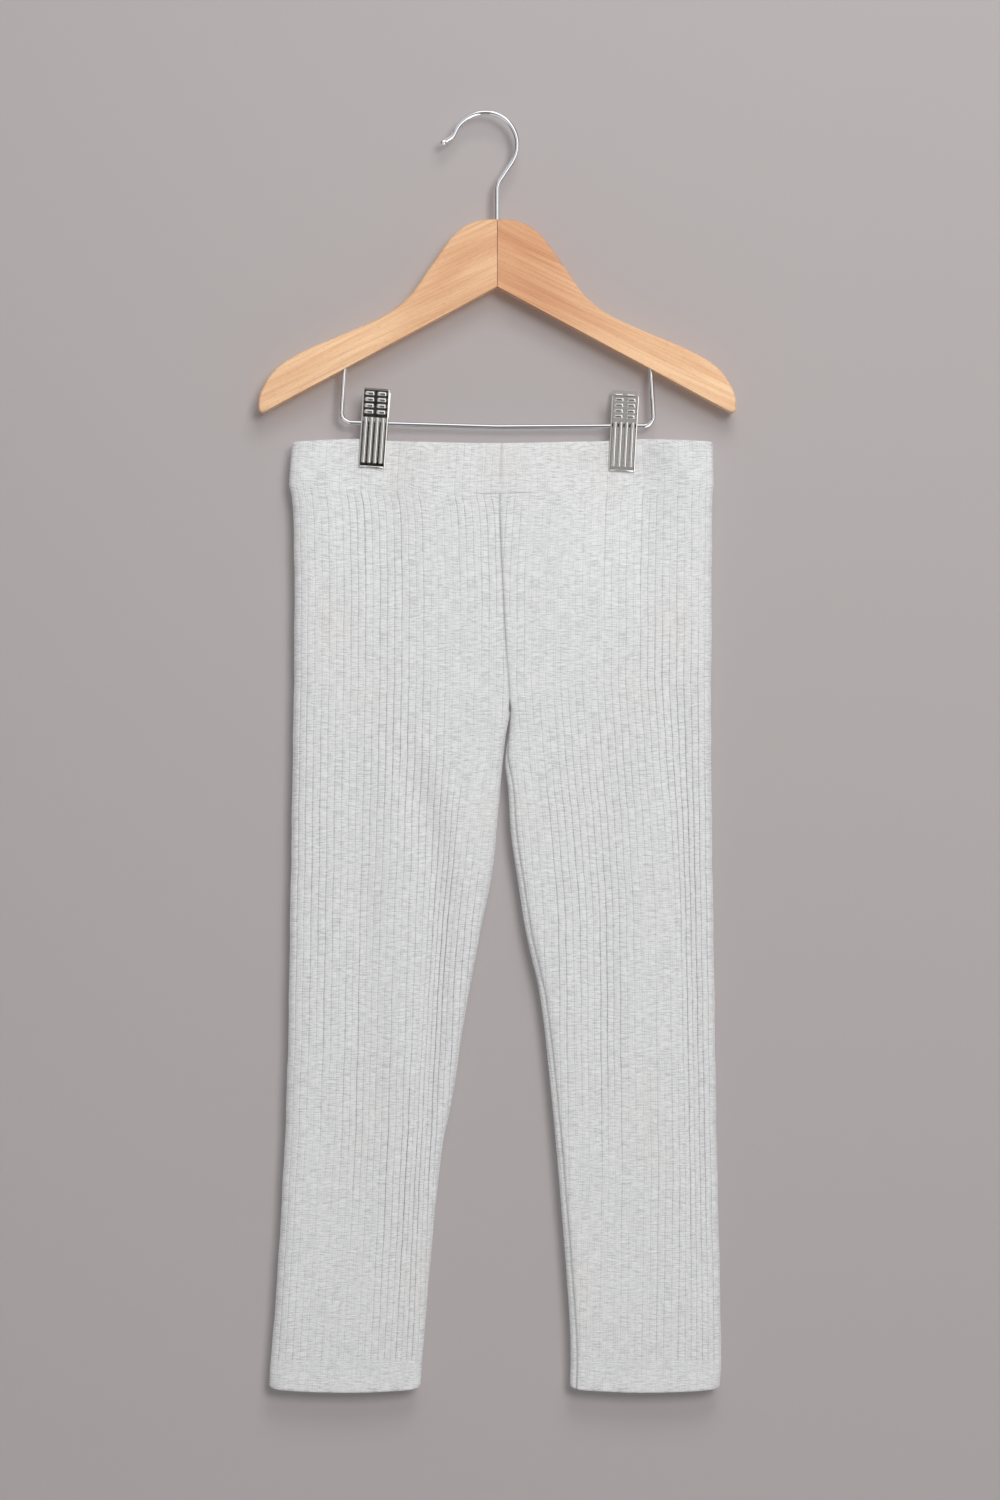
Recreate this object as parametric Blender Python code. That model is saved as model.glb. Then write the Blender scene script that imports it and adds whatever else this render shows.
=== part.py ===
"""Child's ribbed leggings held by the waistband on a wooden clip hanger.

Metres, +Z up. The front faces -Y. Left is -X and right is +X, as seen from the front.
The origin is the seat of the hook: the inside of its top bend, where it hangs on a rail.
Tables are in millimetres from that seat; their x is counted from the hanger's centre line.
"""
from collections import namedtuple
import math

import bmesh
import bpy
from mathutils import Vector

MM = 0.001
GAP = 0.3  # clearance between neighbouring pieces, mm

# Cloth, mm
KNIT_WALL = 1.6
CASING_WALL = 2.7  # waistband: cloth, elastic, cloth
HEM_WALL = 2.8  # two layers of cloth
BODY_HALF_DEPTH = 7.0
BAND_HALF_DEPTH = 6.4
HEM_HALF_DEPTH = 6.0
PINCHED_HALF_DEPTH = CASING_WALL + GAP / 2
OUTER_FOLD_REACH = 11.0  # how far the rounding of the side fold runs in
INNER_FOLD_REACH = 9.0
FLAT_SHARE = 0.86  # half depth beside a fold, as a share of that at mid panel
CROTCH_Z = -374.0
CROTCH_CURVE_TOP_Z = -342.0  # the centre seam starts to turn under here
HEM_LINE_Z = -779.0
HEM_BOTTOM_Z = -799.4
BAND_LOWER_Z = -230.6  # waistband seam at the side folds
BAND_SEAM_SAG = 6.4  # how much lower it runs at the middle
TOP_SHEAR_REACH = 80.0  # below the waist seam, where the rows are level again
PINCH_FADE = 90.0  # below a clip, where the cloth is full again
PINCH_FLAT = 9.8  # half width held flat by a clip
PINCH_REACH = 34.0
SWING_REACH = 46.0  # how far to each side cloth follows a tilted clip

# Rows down each leg: side fold and inner edge. Above the crotch the inner edge is the centre seam.
LegRow = namedtuple("LegRow", "z outer inner")
LEFT_ROWS = (
    LegRow(-205, -128.5, 2.6),
    LegRow(-231, -130.3, 1.3),
    LegRow(-241, -128.6, 1.5),
    LegRow(-256, -127.5, 1.9),
    LegRow(-322, -127.1, 4.8),
    LegRow(-374, -127.6, 8.0),
    LegRow(-387, -127.8, 5.6),
    LegRow(-405, -128.2, 3.5),
    LegRow(-440, -128.7, 0.3),
    LegRow(-472, -129.2, -2.7),
    LegRow(-509, -129.9, -10.0),
    LegRow(-570, -130.8, -21.2),
    LegRow(-613, -132.0, -27.6),
    LegRow(-645, -133.2, -34.0),
    LegRow(-683, -135.2, -38.5),
    LegRow(-730, -138.0, -42.8),
    LegRow(-777, -141.6, -46.7),
    LegRow(-799, -143.2, -48.0),
)
RIGHT_ROWS = (
    LegRow(-205, 134.9, 2.6),
    LegRow(-231, 135.5, 1.3),
    LegRow(-241, 134.9, 1.5),
    LegRow(-256, 134.5, 1.9),
    LegRow(-322, 134.3, 4.8),
    LegRow(-374, 133.8, 8.0),
    LegRow(-387, 133.9, 7.0),
    LegRow(-405, 134.1, 4.8),
    LegRow(-421, 134.2, 6.6),
    LegRow(-451, 134.6, 8.5),
    LegRow(-481, 134.9, 13.0),
    LegRow(-513, 135.5, 18.0),
    LegRow(-552, 136.1, 26.7),
    LegRow(-624, 137.1, 34.7),
    LegRow(-668, 138.0, 38.6),
    LegRow(-741, 139.7, 44.3),
    LegRow(-772, 140.2, 45.8),
    LegRow(-799, 139.8, 45.4),
)
# Rows of the cloth mesh between the waist seam and the hem line
MESH_ROWS = (
    -231, -241, -258, -280, -306, -330, -347, -360, -368,
    CROTCH_Z + KNIT_WALL, CROTCH_Z,
    -381, -394, -412, -438, -470, -504, -538, -572, -612, -652, -694, -738,
    HEM_LINE_Z + GAP / 2,
)
# One panel of cloth makes a whole leg; its solid is cut across here so that its collision stays open
LEG_CUTS = {"thigh": -412, "shin": -572}
# Top edge of the waistband, lifted a little where the clips hold it
EdgePoint = namedtuple("EdgePoint", "x z")
BAND_TOP = (
    EdgePoint(-129, -204.9),
    EdgePoint(-87, -202.6),
    EdgePoint(-60, -204.2),
    EdgePoint(0, -205.4),
    EdgePoint(62, -204.0),
    EdgePoint(90, -202.6),
    EdgePoint(135, -204.6),
)
# The largest soft folds: a trough from its top to its foot, through a bend
Fold = namedtuple("Fold", "face top_x top_z mid_x mid_z foot_x foot_z half_width depth")
FOLDS = (
    Fold("front", -61, -384, -35, -498, -51, -676, 10.0, 2.4),
    Fold("front", -84, -405, -84, -540, -82, -640, 11.0, 1.6),
    Fold("front", -77, -238, -76, -270, -74, -318, 11.0, 1.4),
    Fold("front", 68, -376, 67, -480, 64, -600, 13.0, 1.5),
    Fold("front", 112, -345, 119, -470, 124, -690, 9.0, 1.6),
    Fold("back", -70, -300, -58, -450, -80, -620, 13.0, 2.0),
    Fold("back", -108, -420, -112, -560, -116, -700, 10.0, 1.4),
    Fold("back", 50, -395, 72, -520, 78, -670, 12.0, 2.2),
    Fold("back", 96, -330, 104, -440, 106, -560, 11.0, 1.5),
)
FOLD_END_FADE = 40.0

# Hanger, mm
WOOD_THICKNESS = 12.0
WOOD_ROUNDING = 1.9
WOOD_GROOVE_WIDTH = 1.6
WOOD_GROOVE_DEPTH = 1.4
WOOD_TOP_EDGE = (
    EdgePoint(0, -65.8),
    EdgePoint(14, -67.4),
    EdgePoint(27, -75.4),
    EdgePoint(42.3, -96.1),
    EdgePoint(55.7, -114.5),
    EdgePoint(75.2, -128.3),
    EdgePoint(119.3, -147.4),
    EdgePoint(138.8, -159.6),
    EdgePoint(148.2, -174.5),
    EdgePoint(149.4, -184.5),
)
WOOD_TIP = EdgePoint(147.4, -187.2)
WOOD_UNDERSIDE_MIDDLE_Z = -108.0
EDGE_STEP = 5.5

HOOK_WIRE_RADIUS = 1.65
HOOK_BALL_RADIUS = 2.1
HOOK_BORE_BOTTOM_Z = -91.0
Move = namedtuple("Move", "length radius turn")  # a straight has no turn, a bend no length
HOOK_MOVES = (
    Move(41.0, 0, 0),
    Move(0, 11.0, -34),
    Move(12.9, 0, 0),
    Move(0, 20.2, 193),
    Move(0, 5.0, -36),
    Move(4.6, 0, 0),
)
HOOK_THROAT_MOVE = 3  # the bend that rests on the rail

BAR_WIRE_RADIUS = 1.5
BAR_CORNER_RADIUS = 6.0
BAR_BORE_TOP_Z = -149.0
BAR_POINTS = (
    EdgePoint(-95.1, -151.0),
    EdgePoint(-97.9, -192.4),
    EdgePoint(0.0, -195.2),
    EdgePoint(98.2, -194.6),
    EdgePoint(95.6, -151.0),
)

# Clips: where each sits on the bar, its lean to the right and its tilt to the front, degrees
Clip = namedtuple("Clip", "side x z lean tilt")
CLIPS = (
    Clip("left", -76.8, -193.0, 4.0, 0.0),
    Clip("right", 79.2, -194.7, 2.6, 12.0),
)
JAW_WIDTH = 16.6
JAW_PLATE = 0.9
JAW_DROP = 28.3  # from the bar to the lip
LEVER_LENGTH = 22.0
LEVER_ANGLE = 20.0
JAW_PIVOT_HALF_GAP = 5.0  # from the bar's axis to the plate's outside
EAR_PLATE = 0.8
EAR_HEIGHT = 9.0
EAR_OVERHANG = 2.6  # past the bar's axis
SPRING_OUTER_RADIUS = 3.1
SPRING_INNER_RADIUS = 1.9
SPRING_HALF_LENGTH = 5.8


def clear_scene():
    for item in list(bpy.data.objects):
        bpy.data.objects.remove(item, do_unlink=True)


def finish_material(name, colour, roughness, metallic):
    material = bpy.data.materials.new(name)
    material.use_nodes = True
    shader = material.node_tree.nodes["Principled BSDF"]
    shader.inputs["Base Color"].default_value = (*colour, 1.0)
    shader.inputs["Roughness"].default_value = roughness
    shader.inputs["Metallic"].default_value = metallic
    return material


def place(item, parent, material):
    bpy.context.scene.collection.objects.link(item)
    item.parent = parent
    item.data.materials.append(material)
    return item


def object_from_bmesh(name, mesh_data, parent, material, smooth_angle=35):
    bmesh.ops.recalc_face_normals(mesh_data, faces=mesh_data.faces)
    mesh = bpy.data.meshes.new(name)
    mesh_data.to_mesh(mesh)
    mesh_data.free()
    mesh.shade_smooth()
    mesh.set_sharp_from_angle(angle=math.radians(smooth_angle))
    return place(bpy.data.objects.new(name, mesh), parent, material)


def smoothstep(value):
    share = min(1.0, max(0.0, value))
    return share * share * (3 - 2 * share)


def curve_through(points, position):
    """Value at a position on a smooth curve through (position, value) pairs, in falling order."""
    if position >= points[0][0]:
        return points[0][1]
    if position <= points[-1][0]:
        return points[-1][1]
    index = next(i for i in range(len(points) - 1) if points[i + 1][0] <= position)

    def slope(knot):
        before = points[max(0, knot - 1)]
        after = points[min(len(points) - 1, knot + 1)]
        return (after[1] - before[1]) / (after[0] - before[0])

    (start, low), (end, high) = points[index], points[index + 1]
    span = end - start
    share = (position - start) / span
    square, cube = share ** 2, share ** 3
    value = low * (2 * cube - 3 * square + 1) + high * (3 * square - 2 * cube)
    value += span * slope(index) * (cube - 2 * square + share)
    return value + span * slope(index + 1) * (cube - square)


def outer_edge(rows, z):
    return curve_through([(row.z, row.outer) for row in rows], z)


def inner_edge(rows, z):
    return curve_through([(row.z, row.inner) for row in rows], z)


def waist_seam_z(x):
    side = (LEFT_ROWS if x < 0 else RIGHT_ROWS)[1].outer
    return BAND_LOWER_Z - BAND_SEAM_SAG * (1 - (x / side) ** 2)


def band_top_z(x):
    return -curve_through([(-point.x, -point.z) for point in BAND_TOP], -x)


def clip_hold(clip, x, z, reach):
    """1 where a clip holds the cloth, falling to 0 beside it and below it."""
    centre = clip.x - (clip.z - BAND_LOWER_Z) * 0.5 * math.sin(math.radians(clip.lean))
    beside = 1 - smoothstep((abs(x - centre) - PINCH_FLAT) / (reach - PINCH_FLAT))
    below = 1 - smoothstep((clip.z - JAW_DROP - 2 - z) / PINCH_FADE)
    return beside * below


def middle_y(x, z):
    """The cloth's mid surface: flat, but drawn back where a tilted clip holds it."""
    total = 0.0
    for clip in CLIPS:
        drop = min(max(clip.z - z, 0.0), JAW_DROP)
        swing = drop * math.tan(math.radians(clip.tilt))
        total += swing * clip_hold(clip, x, z, SWING_REACH)
    return total


def half_depth(x, z, full, crown):
    depth = full * (FLAT_SHARE + (1 - FLAT_SHARE) * crown)
    hold = max(clip_hold(clip, x, z, PINCH_REACH) for clip in CLIPS)
    return depth + (PINCHED_HALF_DEPTH - depth) * hold


def fold_depth(face, x, z):
    """How far the soft folds press a face in at a point."""
    total = 0.0
    for fold in FOLDS:
        if fold.face != face or not fold.foot_z < z < fold.top_z:
            continue
        path = ((fold.top_z, fold.top_x), (fold.mid_z, fold.mid_x), (fold.foot_z, fold.foot_x))
        away = (x - curve_through(path, z)) / fold.half_width
        ends = smoothstep((fold.top_z - z) / FOLD_END_FADE) * smoothstep((z - fold.foot_z) / FOLD_END_FADE)
        total += fold.depth * ends * math.exp(-away * away)
    return total


def arc_shares(turn, count):
    """Reach and height shares along a rounded end that turns through an angle up to 90 degrees."""
    shares = []
    for step in range(count):
        angle = turn * (1 - step / count)
        shares.append((1 - math.sin(angle) / math.sin(turn), math.cos(angle)))
    return shares


def leg_half(rows, z, inset):
    """Distance from the inner edge and height share, for the columns from inner edge to side fold."""
    inner_caps, flats, outer_caps = 5, 9, 4
    crotch = CROTCH_Z + inset
    turn = math.asin(min(1.0, max(0.05, (CROTCH_CURVE_TOP_Z - z) / (CROTCH_CURVE_TOP_Z - crotch))))
    shift = inset * min(1.0, max(0.0, (crotch - z) / (1.4 * KNIT_WALL)))
    width = abs(outer_edge(rows, z) - inner_edge(rows, z)) - inset - shift - GAP / 2
    inner_reach = INNER_FOLD_REACH - shift
    outer_reach = OUTER_FOLD_REACH - inset
    columns = [(reach * inner_reach, height) for reach, height in arc_shares(turn, inner_caps)]
    flat_width = width - inner_reach - outer_reach
    columns += [(inner_reach + flat_width * step / flats, 1.0) for step in range(flats)]
    outer_cap = arc_shares(math.pi / 2, outer_caps)
    columns += [(width - outer_reach, 1.0)]
    columns += [(width - reach * outer_reach, height) for reach, height in reversed(outer_cap)]
    return [(shift + distance, width, height) for distance, height in columns]


def leg_loop(rows, z, inset, full):
    """Points of one section, from the inner edge round the front, the side fold and the back."""
    side = math.copysign(1.0, rows[0].outer)
    edge = inner_edge(rows, z) + side * GAP / 2
    half = leg_half(rows, z, inset)
    loop = []
    for face, sign, columns in (("front", -1, half), ("back", 1, half[-2::-1])):
        for distance, width, height in columns:
            x = edge + side * distance
            share = min(1.0, max(0.0, distance / width))
            depth = half_depth(x, z, full, 4 * share * (1 - share)) - inset
            pressed = fold_depth(face, x, z) * height ** 2
            level = middle_y(x, z) + sign * (depth * height - pressed)
            shear = 1 - smoothstep((BAND_LOWER_Z - z) / TOP_SHEAR_REACH)
            drop = (waist_seam_z(x) - BAND_LOWER_Z) * shear
            loop.append(Vector((x, level, z + drop)) * MM)
    return loop


def add_leg(side, rows, parent, material):
    """The hip end of a leg panel: open along the centre seam above the crotch, closed below it."""
    mesh_data = bmesh.new()
    heights = [z - GAP if z == MESH_ROWS[0] else z for z in MESH_ROWS if z >= LEG_CUTS["thigh"]]
    crotch_row = MESH_ROWS.index(CROTCH_Z)
    surfaces = []
    for inset, first_closed in ((0.0, crotch_row), (KNIT_WALL, crotch_row - 1)):
        surface = []
        for row, z in enumerate(heights):
            points = leg_loop(rows, z, inset, BODY_HALF_DEPTH)
            closed = row >= first_closed
            verts = [mesh_data.verts.new(point) for point in (points[:-1] if closed else points)]
            surface.append(verts + verts[:1] if closed else verts)
        surfaces.append(surface)
    outside, inside = surfaces
    last = len(outside[0]) - 1
    for surface in surfaces:
        for upper, lower in zip(surface, surface[1:]):
            for column in range(last):
                corners = (upper[column], upper[column + 1], lower[column + 1], lower[column])
                mesh_data.faces.new(corners)
    for row in (0, -1):
        for column in range(last):
            pair = (outside[row][column], outside[row][column + 1])
            mesh_data.faces.new(pair + (inside[row][column + 1], inside[row][column]))
    for end in (0, last):
        for row in range(crotch_row - 1):
            upper = (outside[row][end], inside[row][end])
            mesh_data.faces.new(upper + (inside[row + 1][end], outside[row + 1][end]))
    under = crotch_row - 1
    corners = (outside[under][0], inside[under][0], outside[under][last], outside[crotch_row][0])
    mesh_data.faces.new(corners)
    return object_from_bmesh(f"leg_{side}_hip", mesh_data, parent, material)


def add_ring(name, outside, inside, parent, material):
    """A closed ring of cloth from matching loops, top to bottom, outside and inside."""
    mesh_data = bmesh.new()
    walls = [[mesh_data.verts.new(point) for point in loop] for loop in outside + inside[::-1]]
    for upper, lower in zip(walls, walls[1:] + walls[:1]):
        for column in range(len(upper)):
            after = (column + 1) % len(upper)
            mesh_data.faces.new((upper[column], upper[after], lower[after], lower[column]))
    return object_from_bmesh(name, mesh_data, parent, material)


def add_leg_tube(side, part, lowest, rows, parent, material):
    """A closed length of a leg panel below its hip end."""
    heights = [z for z in MESH_ROWS if lowest <= z <= LEG_CUTS[part]]
    heights[0] -= GAP
    outside, inside = (
        [leg_loop(rows, z, inset, BODY_HALF_DEPTH)[:-1] for z in heights] for inset in (0.0, KNIT_WALL)
    )
    return add_ring(f"leg_{side}_{part}", outside, inside, parent, material)


def band_columns():
    """Columns across the flat of the waistband, with some where the clips hold it."""
    columns = [-24.0, 0.0, 24.0]
    for clip in CLIPS:
        centre = clip.x - (clip.z - BAND_LOWER_Z) * 0.5 * math.sin(math.radians(clip.lean))
        for away in (PINCH_FLAT, (PINCH_FLAT + PINCH_REACH) / 2, PINCH_REACH):
            columns += [centre - away, centre + away]
    return sorted(columns)


def band_loop(share, inset):
    """One loop round the waistband, a share of the way from its top edge to its seam."""
    fold_z = BAND_TOP[0].z + share * (BAND_LOWER_Z - BAND_TOP[0].z)
    left = outer_edge(LEFT_ROWS, fold_z) + inset
    right = outer_edge(RIGHT_ROWS, fold_z) - inset
    reach = OUTER_FOLD_REACH - 2 - inset
    cap = arc_shares(math.pi / 2, 4)
    across = [(left + away * reach, height) for away, height in cap]
    across += [(left + reach, 1.0)] + [(x, 1.0) for x in band_columns()] + [(right - reach, 1.0)]
    across += [(right - away * reach, height) for away, height in reversed(cap)]
    loop = []
    for sign, columns in ((-1, across), (1, across[-2:0:-1])):
        for x, height in columns:
            z = band_top_z(x) + share * (waist_seam_z(x) - band_top_z(x))
            middle = (x - left) / (right - left)
            depth = half_depth(x, z, BAND_HALF_DEPTH, 4 * middle * (1 - middle)) - inset
            loop.append(Vector((x, middle_y(x, z) + sign * depth * height, z)) * MM)
    return loop


def add_waistband(parent, material):
    shares = (0.0, 0.3, 0.65, 1.0)
    outside = [band_loop(share, 0.0) for share in shares]
    inside = [band_loop(share, CASING_WALL) for share in shares]
    return add_ring("waistband", outside, inside, parent, material)


def hem_loop(rows, share, inset):
    """One loop round a hem, whose lower edge rises a little at both folds."""
    top = HEM_LINE_Z - GAP / 2
    loop = []
    for point in leg_loop(rows, top + share * (HEM_BOTTOM_Z - top), inset, HEM_HALF_DEPTH)[:-1]:
        x = point.x / MM
        z = point.z / MM
        inner = inner_edge(rows, z)
        outer = outer_edge(rows, z)
        across = (x - inner) / (outer - inner)
        near_fold = math.exp(-min(abs(x - inner), abs(x - outer)) / 4.0)
        rise = 1.5 * (2 * across - 1) ** 2 + 2.6 * near_fold
        loop.append(Vector((point.x, point.y, point.z + share * rise * MM)))
    return loop


def add_hem(side, rows, parent, material):
    shares = (0.0, 0.55, 1.0)
    outside = [hem_loop(rows, share, 0.0) for share in shares]
    inside = [hem_loop(rows, share, HEM_WALL) for share in shares]
    return add_ring(f"hem_{side}", outside, inside, parent, material)


def cutter(item):
    item.display_type = "WIRE"
    item.hide_render = True
    return item


def cylinder_between(name, start, end, radius, parent, sides=16):
    axis = Vector(end) - Vector(start)
    mesh_data = bmesh.new()
    turned = axis.to_track_quat("Z", "Y").to_matrix().to_4x4()
    turned.translation = (Vector(start) + Vector(end)) / 2
    bmesh.ops.create_cone(
        mesh_data, cap_ends=True, segments=sides, radius1=radius, radius2=radius,
        depth=axis.length, matrix=turned,
    )
    mesh = bpy.data.meshes.new(name)
    mesh_data.to_mesh(mesh)
    mesh_data.free()
    item = bpy.data.objects.new(name, mesh)
    bpy.context.scene.collection.objects.link(item)
    item.parent = parent
    return item


def cut(item, tool):
    modifier = item.modifiers.new(tool.name, "BOOLEAN")
    modifier.operation = "DIFFERENCE"
    modifier.solver = "EXACT"
    modifier.object = tool


def wood_outline():
    """Half outline of the hanger, from the centre's top round the arm to the centre's underside."""
    knots = [Vector((point.x, 0, point.z)) for point in WOOD_TOP_EDGE]
    padded = [Vector((-knots[1].x, 0, knots[1].z))] + knots + [2 * knots[-1] - knots[-2]]
    outline = []
    for before, start, end, after in zip(padded, padded[1:], padded[2:], padded[3:]):
        steps = max(2, round((end - start).length / EDGE_STEP))
        for step in range(steps):
            share = step / steps
            leave = (end - before) / 2
            arrive = (after - start) / 2
            square, cube = share ** 2, share ** 3
            point = start * (2 * cube - 3 * square + 1) + end * (3 * square - 2 * cube)
            point += leave * (cube - 2 * square + share) + arrive * (cube - square)
            outline.append(point)
    outline.append(knots[-1])
    outline.append(Vector((WOOD_TIP.x, 0, WOOD_TIP.z)))
    outline.append(Vector((0, 0, WOOD_UNDERSIDE_MIDDLE_Z)))
    return outline


def add_wood_arm(side, sign, parent, material):
    """Half of the hanger's wood: a rounded board with a groove along its underside."""
    mesh_data = bmesh.new()
    outline = [Vector((max(point.x, GAP / 2), 0, point.z)) for point in wood_outline()]
    rings = []
    for y in (-WOOD_THICKNESS / 2, WOOD_THICKNESS / 2):
        rings.append([mesh_data.verts.new(Vector((sign * p.x, y, p.z)) * MM) for p in outline])
    mesh_data.faces.new(rings[0])
    mesh_data.faces.new(rings[1])
    for column in range(len(outline)):
        after = (column + 1) % len(outline)
        corners = (rings[0][column], rings[0][after], rings[1][after], rings[1][column])
        mesh_data.faces.new(corners)
    joint = GAP * 0.6 * MM
    rounded = [
        edge for edge in mesh_data.edges
        if abs(edge.verts[0].co.y - edge.verts[1].co.y) < joint
        and max(abs(vert.co.x) for vert in edge.verts) > joint
    ]
    bmesh.ops.bevel(
        mesh_data, geom=rounded, offset=WOOD_ROUNDING * MM, segments=2, profile=0.5, affect="EDGES",
    )
    arm = object_from_bmesh(f"wood_arm_{side}", mesh_data, parent, material, smooth_angle=50)

    shank = cylinder_between(
        f"cut_shank_{side}", Vector((0, 0, HOOK_BORE_BOTTOM_Z)) * MM, Vector((0, 0, -60)) * MM,
        (HOOK_WIRE_RADIUS + GAP) * MM, parent,
    )
    cut(arm, cutter(shank))

    foot, corner = (BAR_POINTS[0], BAR_POINTS[1]) if sign < 0 else (BAR_POINTS[-1], BAR_POINTS[-2])
    lean = (corner.x - foot.x) / (corner.z - foot.z)
    ends = [Vector((foot.x + lean * (z - foot.z), 0, z)) * MM for z in (BAR_BORE_TOP_Z, -175)]
    bore = cylinder_between(
        f"cut_bar_{side}", ends[0], ends[1], (BAR_WIRE_RADIUS + GAP) * MM, parent,
    )
    cut(arm, cutter(bore))

    start = Vector((sign * 12.0, 0, 0))
    end = Vector((sign * 138.0, 0, 0))
    slope = (WOOD_TIP.z - WOOD_UNDERSIDE_MIDDLE_Z) / WOOD_TIP.x
    for point in (start, end):
        point.z = WOOD_UNDERSIDE_MIDDLE_Z + slope * abs(point.x)
    groove_data = bmesh.new()
    bmesh.ops.create_cube(groove_data, size=1.0)
    size = Vector(((end - start).length, WOOD_GROOVE_WIDTH, 2 * WOOD_GROOVE_DEPTH)) * MM
    bmesh.ops.scale(groove_data, vec=size, verts=groove_data.verts)
    groove_mesh = bpy.data.meshes.new(f"cut_groove_{side}")
    groove_data.to_mesh(groove_mesh)
    groove_data.free()
    groove = bpy.data.objects.new(f"cut_groove_{side}", groove_mesh)
    bpy.context.scene.collection.objects.link(groove)
    groove.parent = parent
    groove.location = (start + end) / 2 * MM
    groove.rotation_euler = (0, -math.atan2(end.z - start.z, end.x - start.x), 0)
    cut(arm, cutter(groove))
    return arm


def wire(name, points, radii, radius, parent, material):
    """A round wire along points; each point's share scales the wire's radius."""
    curve = bpy.data.curves.new(name, "CURVE")
    curve.dimensions = "3D"
    curve.bevel_depth = radius * MM
    curve.bevel_resolution = 3
    curve.use_fill_caps = True
    spline = curve.splines.new("POLY")
    spline.points.add(len(points) - 1)
    for target, point, share in zip(spline.points, points, radii):
        target.co = (*(point * MM), 1.0)
        target.radius = share
    spline.use_smooth = True
    return place(bpy.data.objects.new(name, curve), parent, material)


def trace_hook():
    """Points along the hook from the shank's foot, and the centre of the bend that hangs."""
    position, heading = Vector((0, 0, 0)), math.pi / 2
    points, centres = [position.copy()], []
    for move in HOOK_MOVES:
        centre = None
        if move.turn:
            left = math.copysign(math.pi / 2, move.turn)
            to_centre = Vector((math.cos(heading + left), 0, math.sin(heading + left)))
            centre = position + to_centre * move.radius
            steps = max(3, round(abs(move.turn) / 9))
            for _ in range(steps):
                heading += math.radians(move.turn) / steps
                outward = Vector((math.cos(heading - left), 0, math.sin(heading - left)))
                points.append(centre + outward * move.radius)
        else:
            points.append(position + Vector((math.cos(heading), 0, math.sin(heading))) * move.length)
        position = points[-1].copy()
        centres.append(centre)
    return points, centres[HOOK_THROAT_MOVE], heading


def hook_points():
    """The hook's path and wire shares, moved so that its seat is at x 0, z 0."""
    points, throat, heading = trace_hook()
    seat = throat + Vector((0, 0, HOOK_MOVES[HOOK_THROAT_MOVE].radius - HOOK_WIRE_RADIUS))
    shares = [1.0] * len(points)
    tip = points[-1]
    forward = Vector((math.cos(heading), 0, math.sin(heading)))
    centre = tip + forward * HOOK_BALL_RADIUS * 0.8
    for angle in (128, 108, 90, 68, 45, 22):
        points.append(centre + forward * HOOK_BALL_RADIUS * math.cos(math.radians(angle)))
        shares.append(HOOK_BALL_RADIUS * math.sin(math.radians(angle)) / HOOK_WIRE_RADIUS)
    return [point - seat for point in points], shares, -seat.x


def rounded_path(corners, radius, steps=5):
    """A path through corners, each turned through an arc of the given radius."""
    path = [corners[0]]
    for before, corner, after in zip(corners, corners[1:], corners[2:]):
        into = (before - corner).normalized()
        out = (after - corner).normalized()
        half = into.angle(out) / 2
        trim = radius / math.tan(half)
        if trim < 1.0:
            path.append(corner)
            continue
        centre = corner + (into + out).normalized() * radius / math.sin(half)
        start = (corner + into * trim - centre).normalized()
        end = (corner + out * trim - centre).normalized()
        for step in range(steps + 1):
            path.append(centre + start.slerp(end, step / steps) * radius)
    path.append(corners[-1])
    return path


def jaw_profile():
    """Side outline of the front jaw's plate, outside face first, in y and z from the bar's axis."""
    angle = math.radians(LEVER_ANGLE)
    lip_y = PINCHED_HALF_DEPTH + GAP + JAW_PLATE
    top = (-JAW_PIVOT_HALF_GAP - LEVER_LENGTH * math.sin(angle), LEVER_LENGTH * math.cos(angle))
    outside = [
        (-lip_y, -JAW_DROP),
        (-JAW_PIVOT_HALF_GAP + 0.25, -4.0),
        (-JAW_PIVOT_HALF_GAP, 0.0),
        (-JAW_PIVOT_HALF_GAP - 0.8, 3.2),
        top,
    ]
    inside = [(y + JAW_PLATE, z) for y, z in outside]
    return outside + inside[::-1]


def add_box(mesh_data, low, high):
    size = [high[axis] - low[axis] for axis in range(3)]
    centre = [(high[axis] + low[axis]) / 2 for axis in range(3)]
    made = bmesh.ops.create_cube(mesh_data, size=1.0)
    bmesh.ops.scale(mesh_data, vec=size, verts=made["verts"])
    bmesh.ops.translate(mesh_data, vec=centre, verts=made["verts"])


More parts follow.
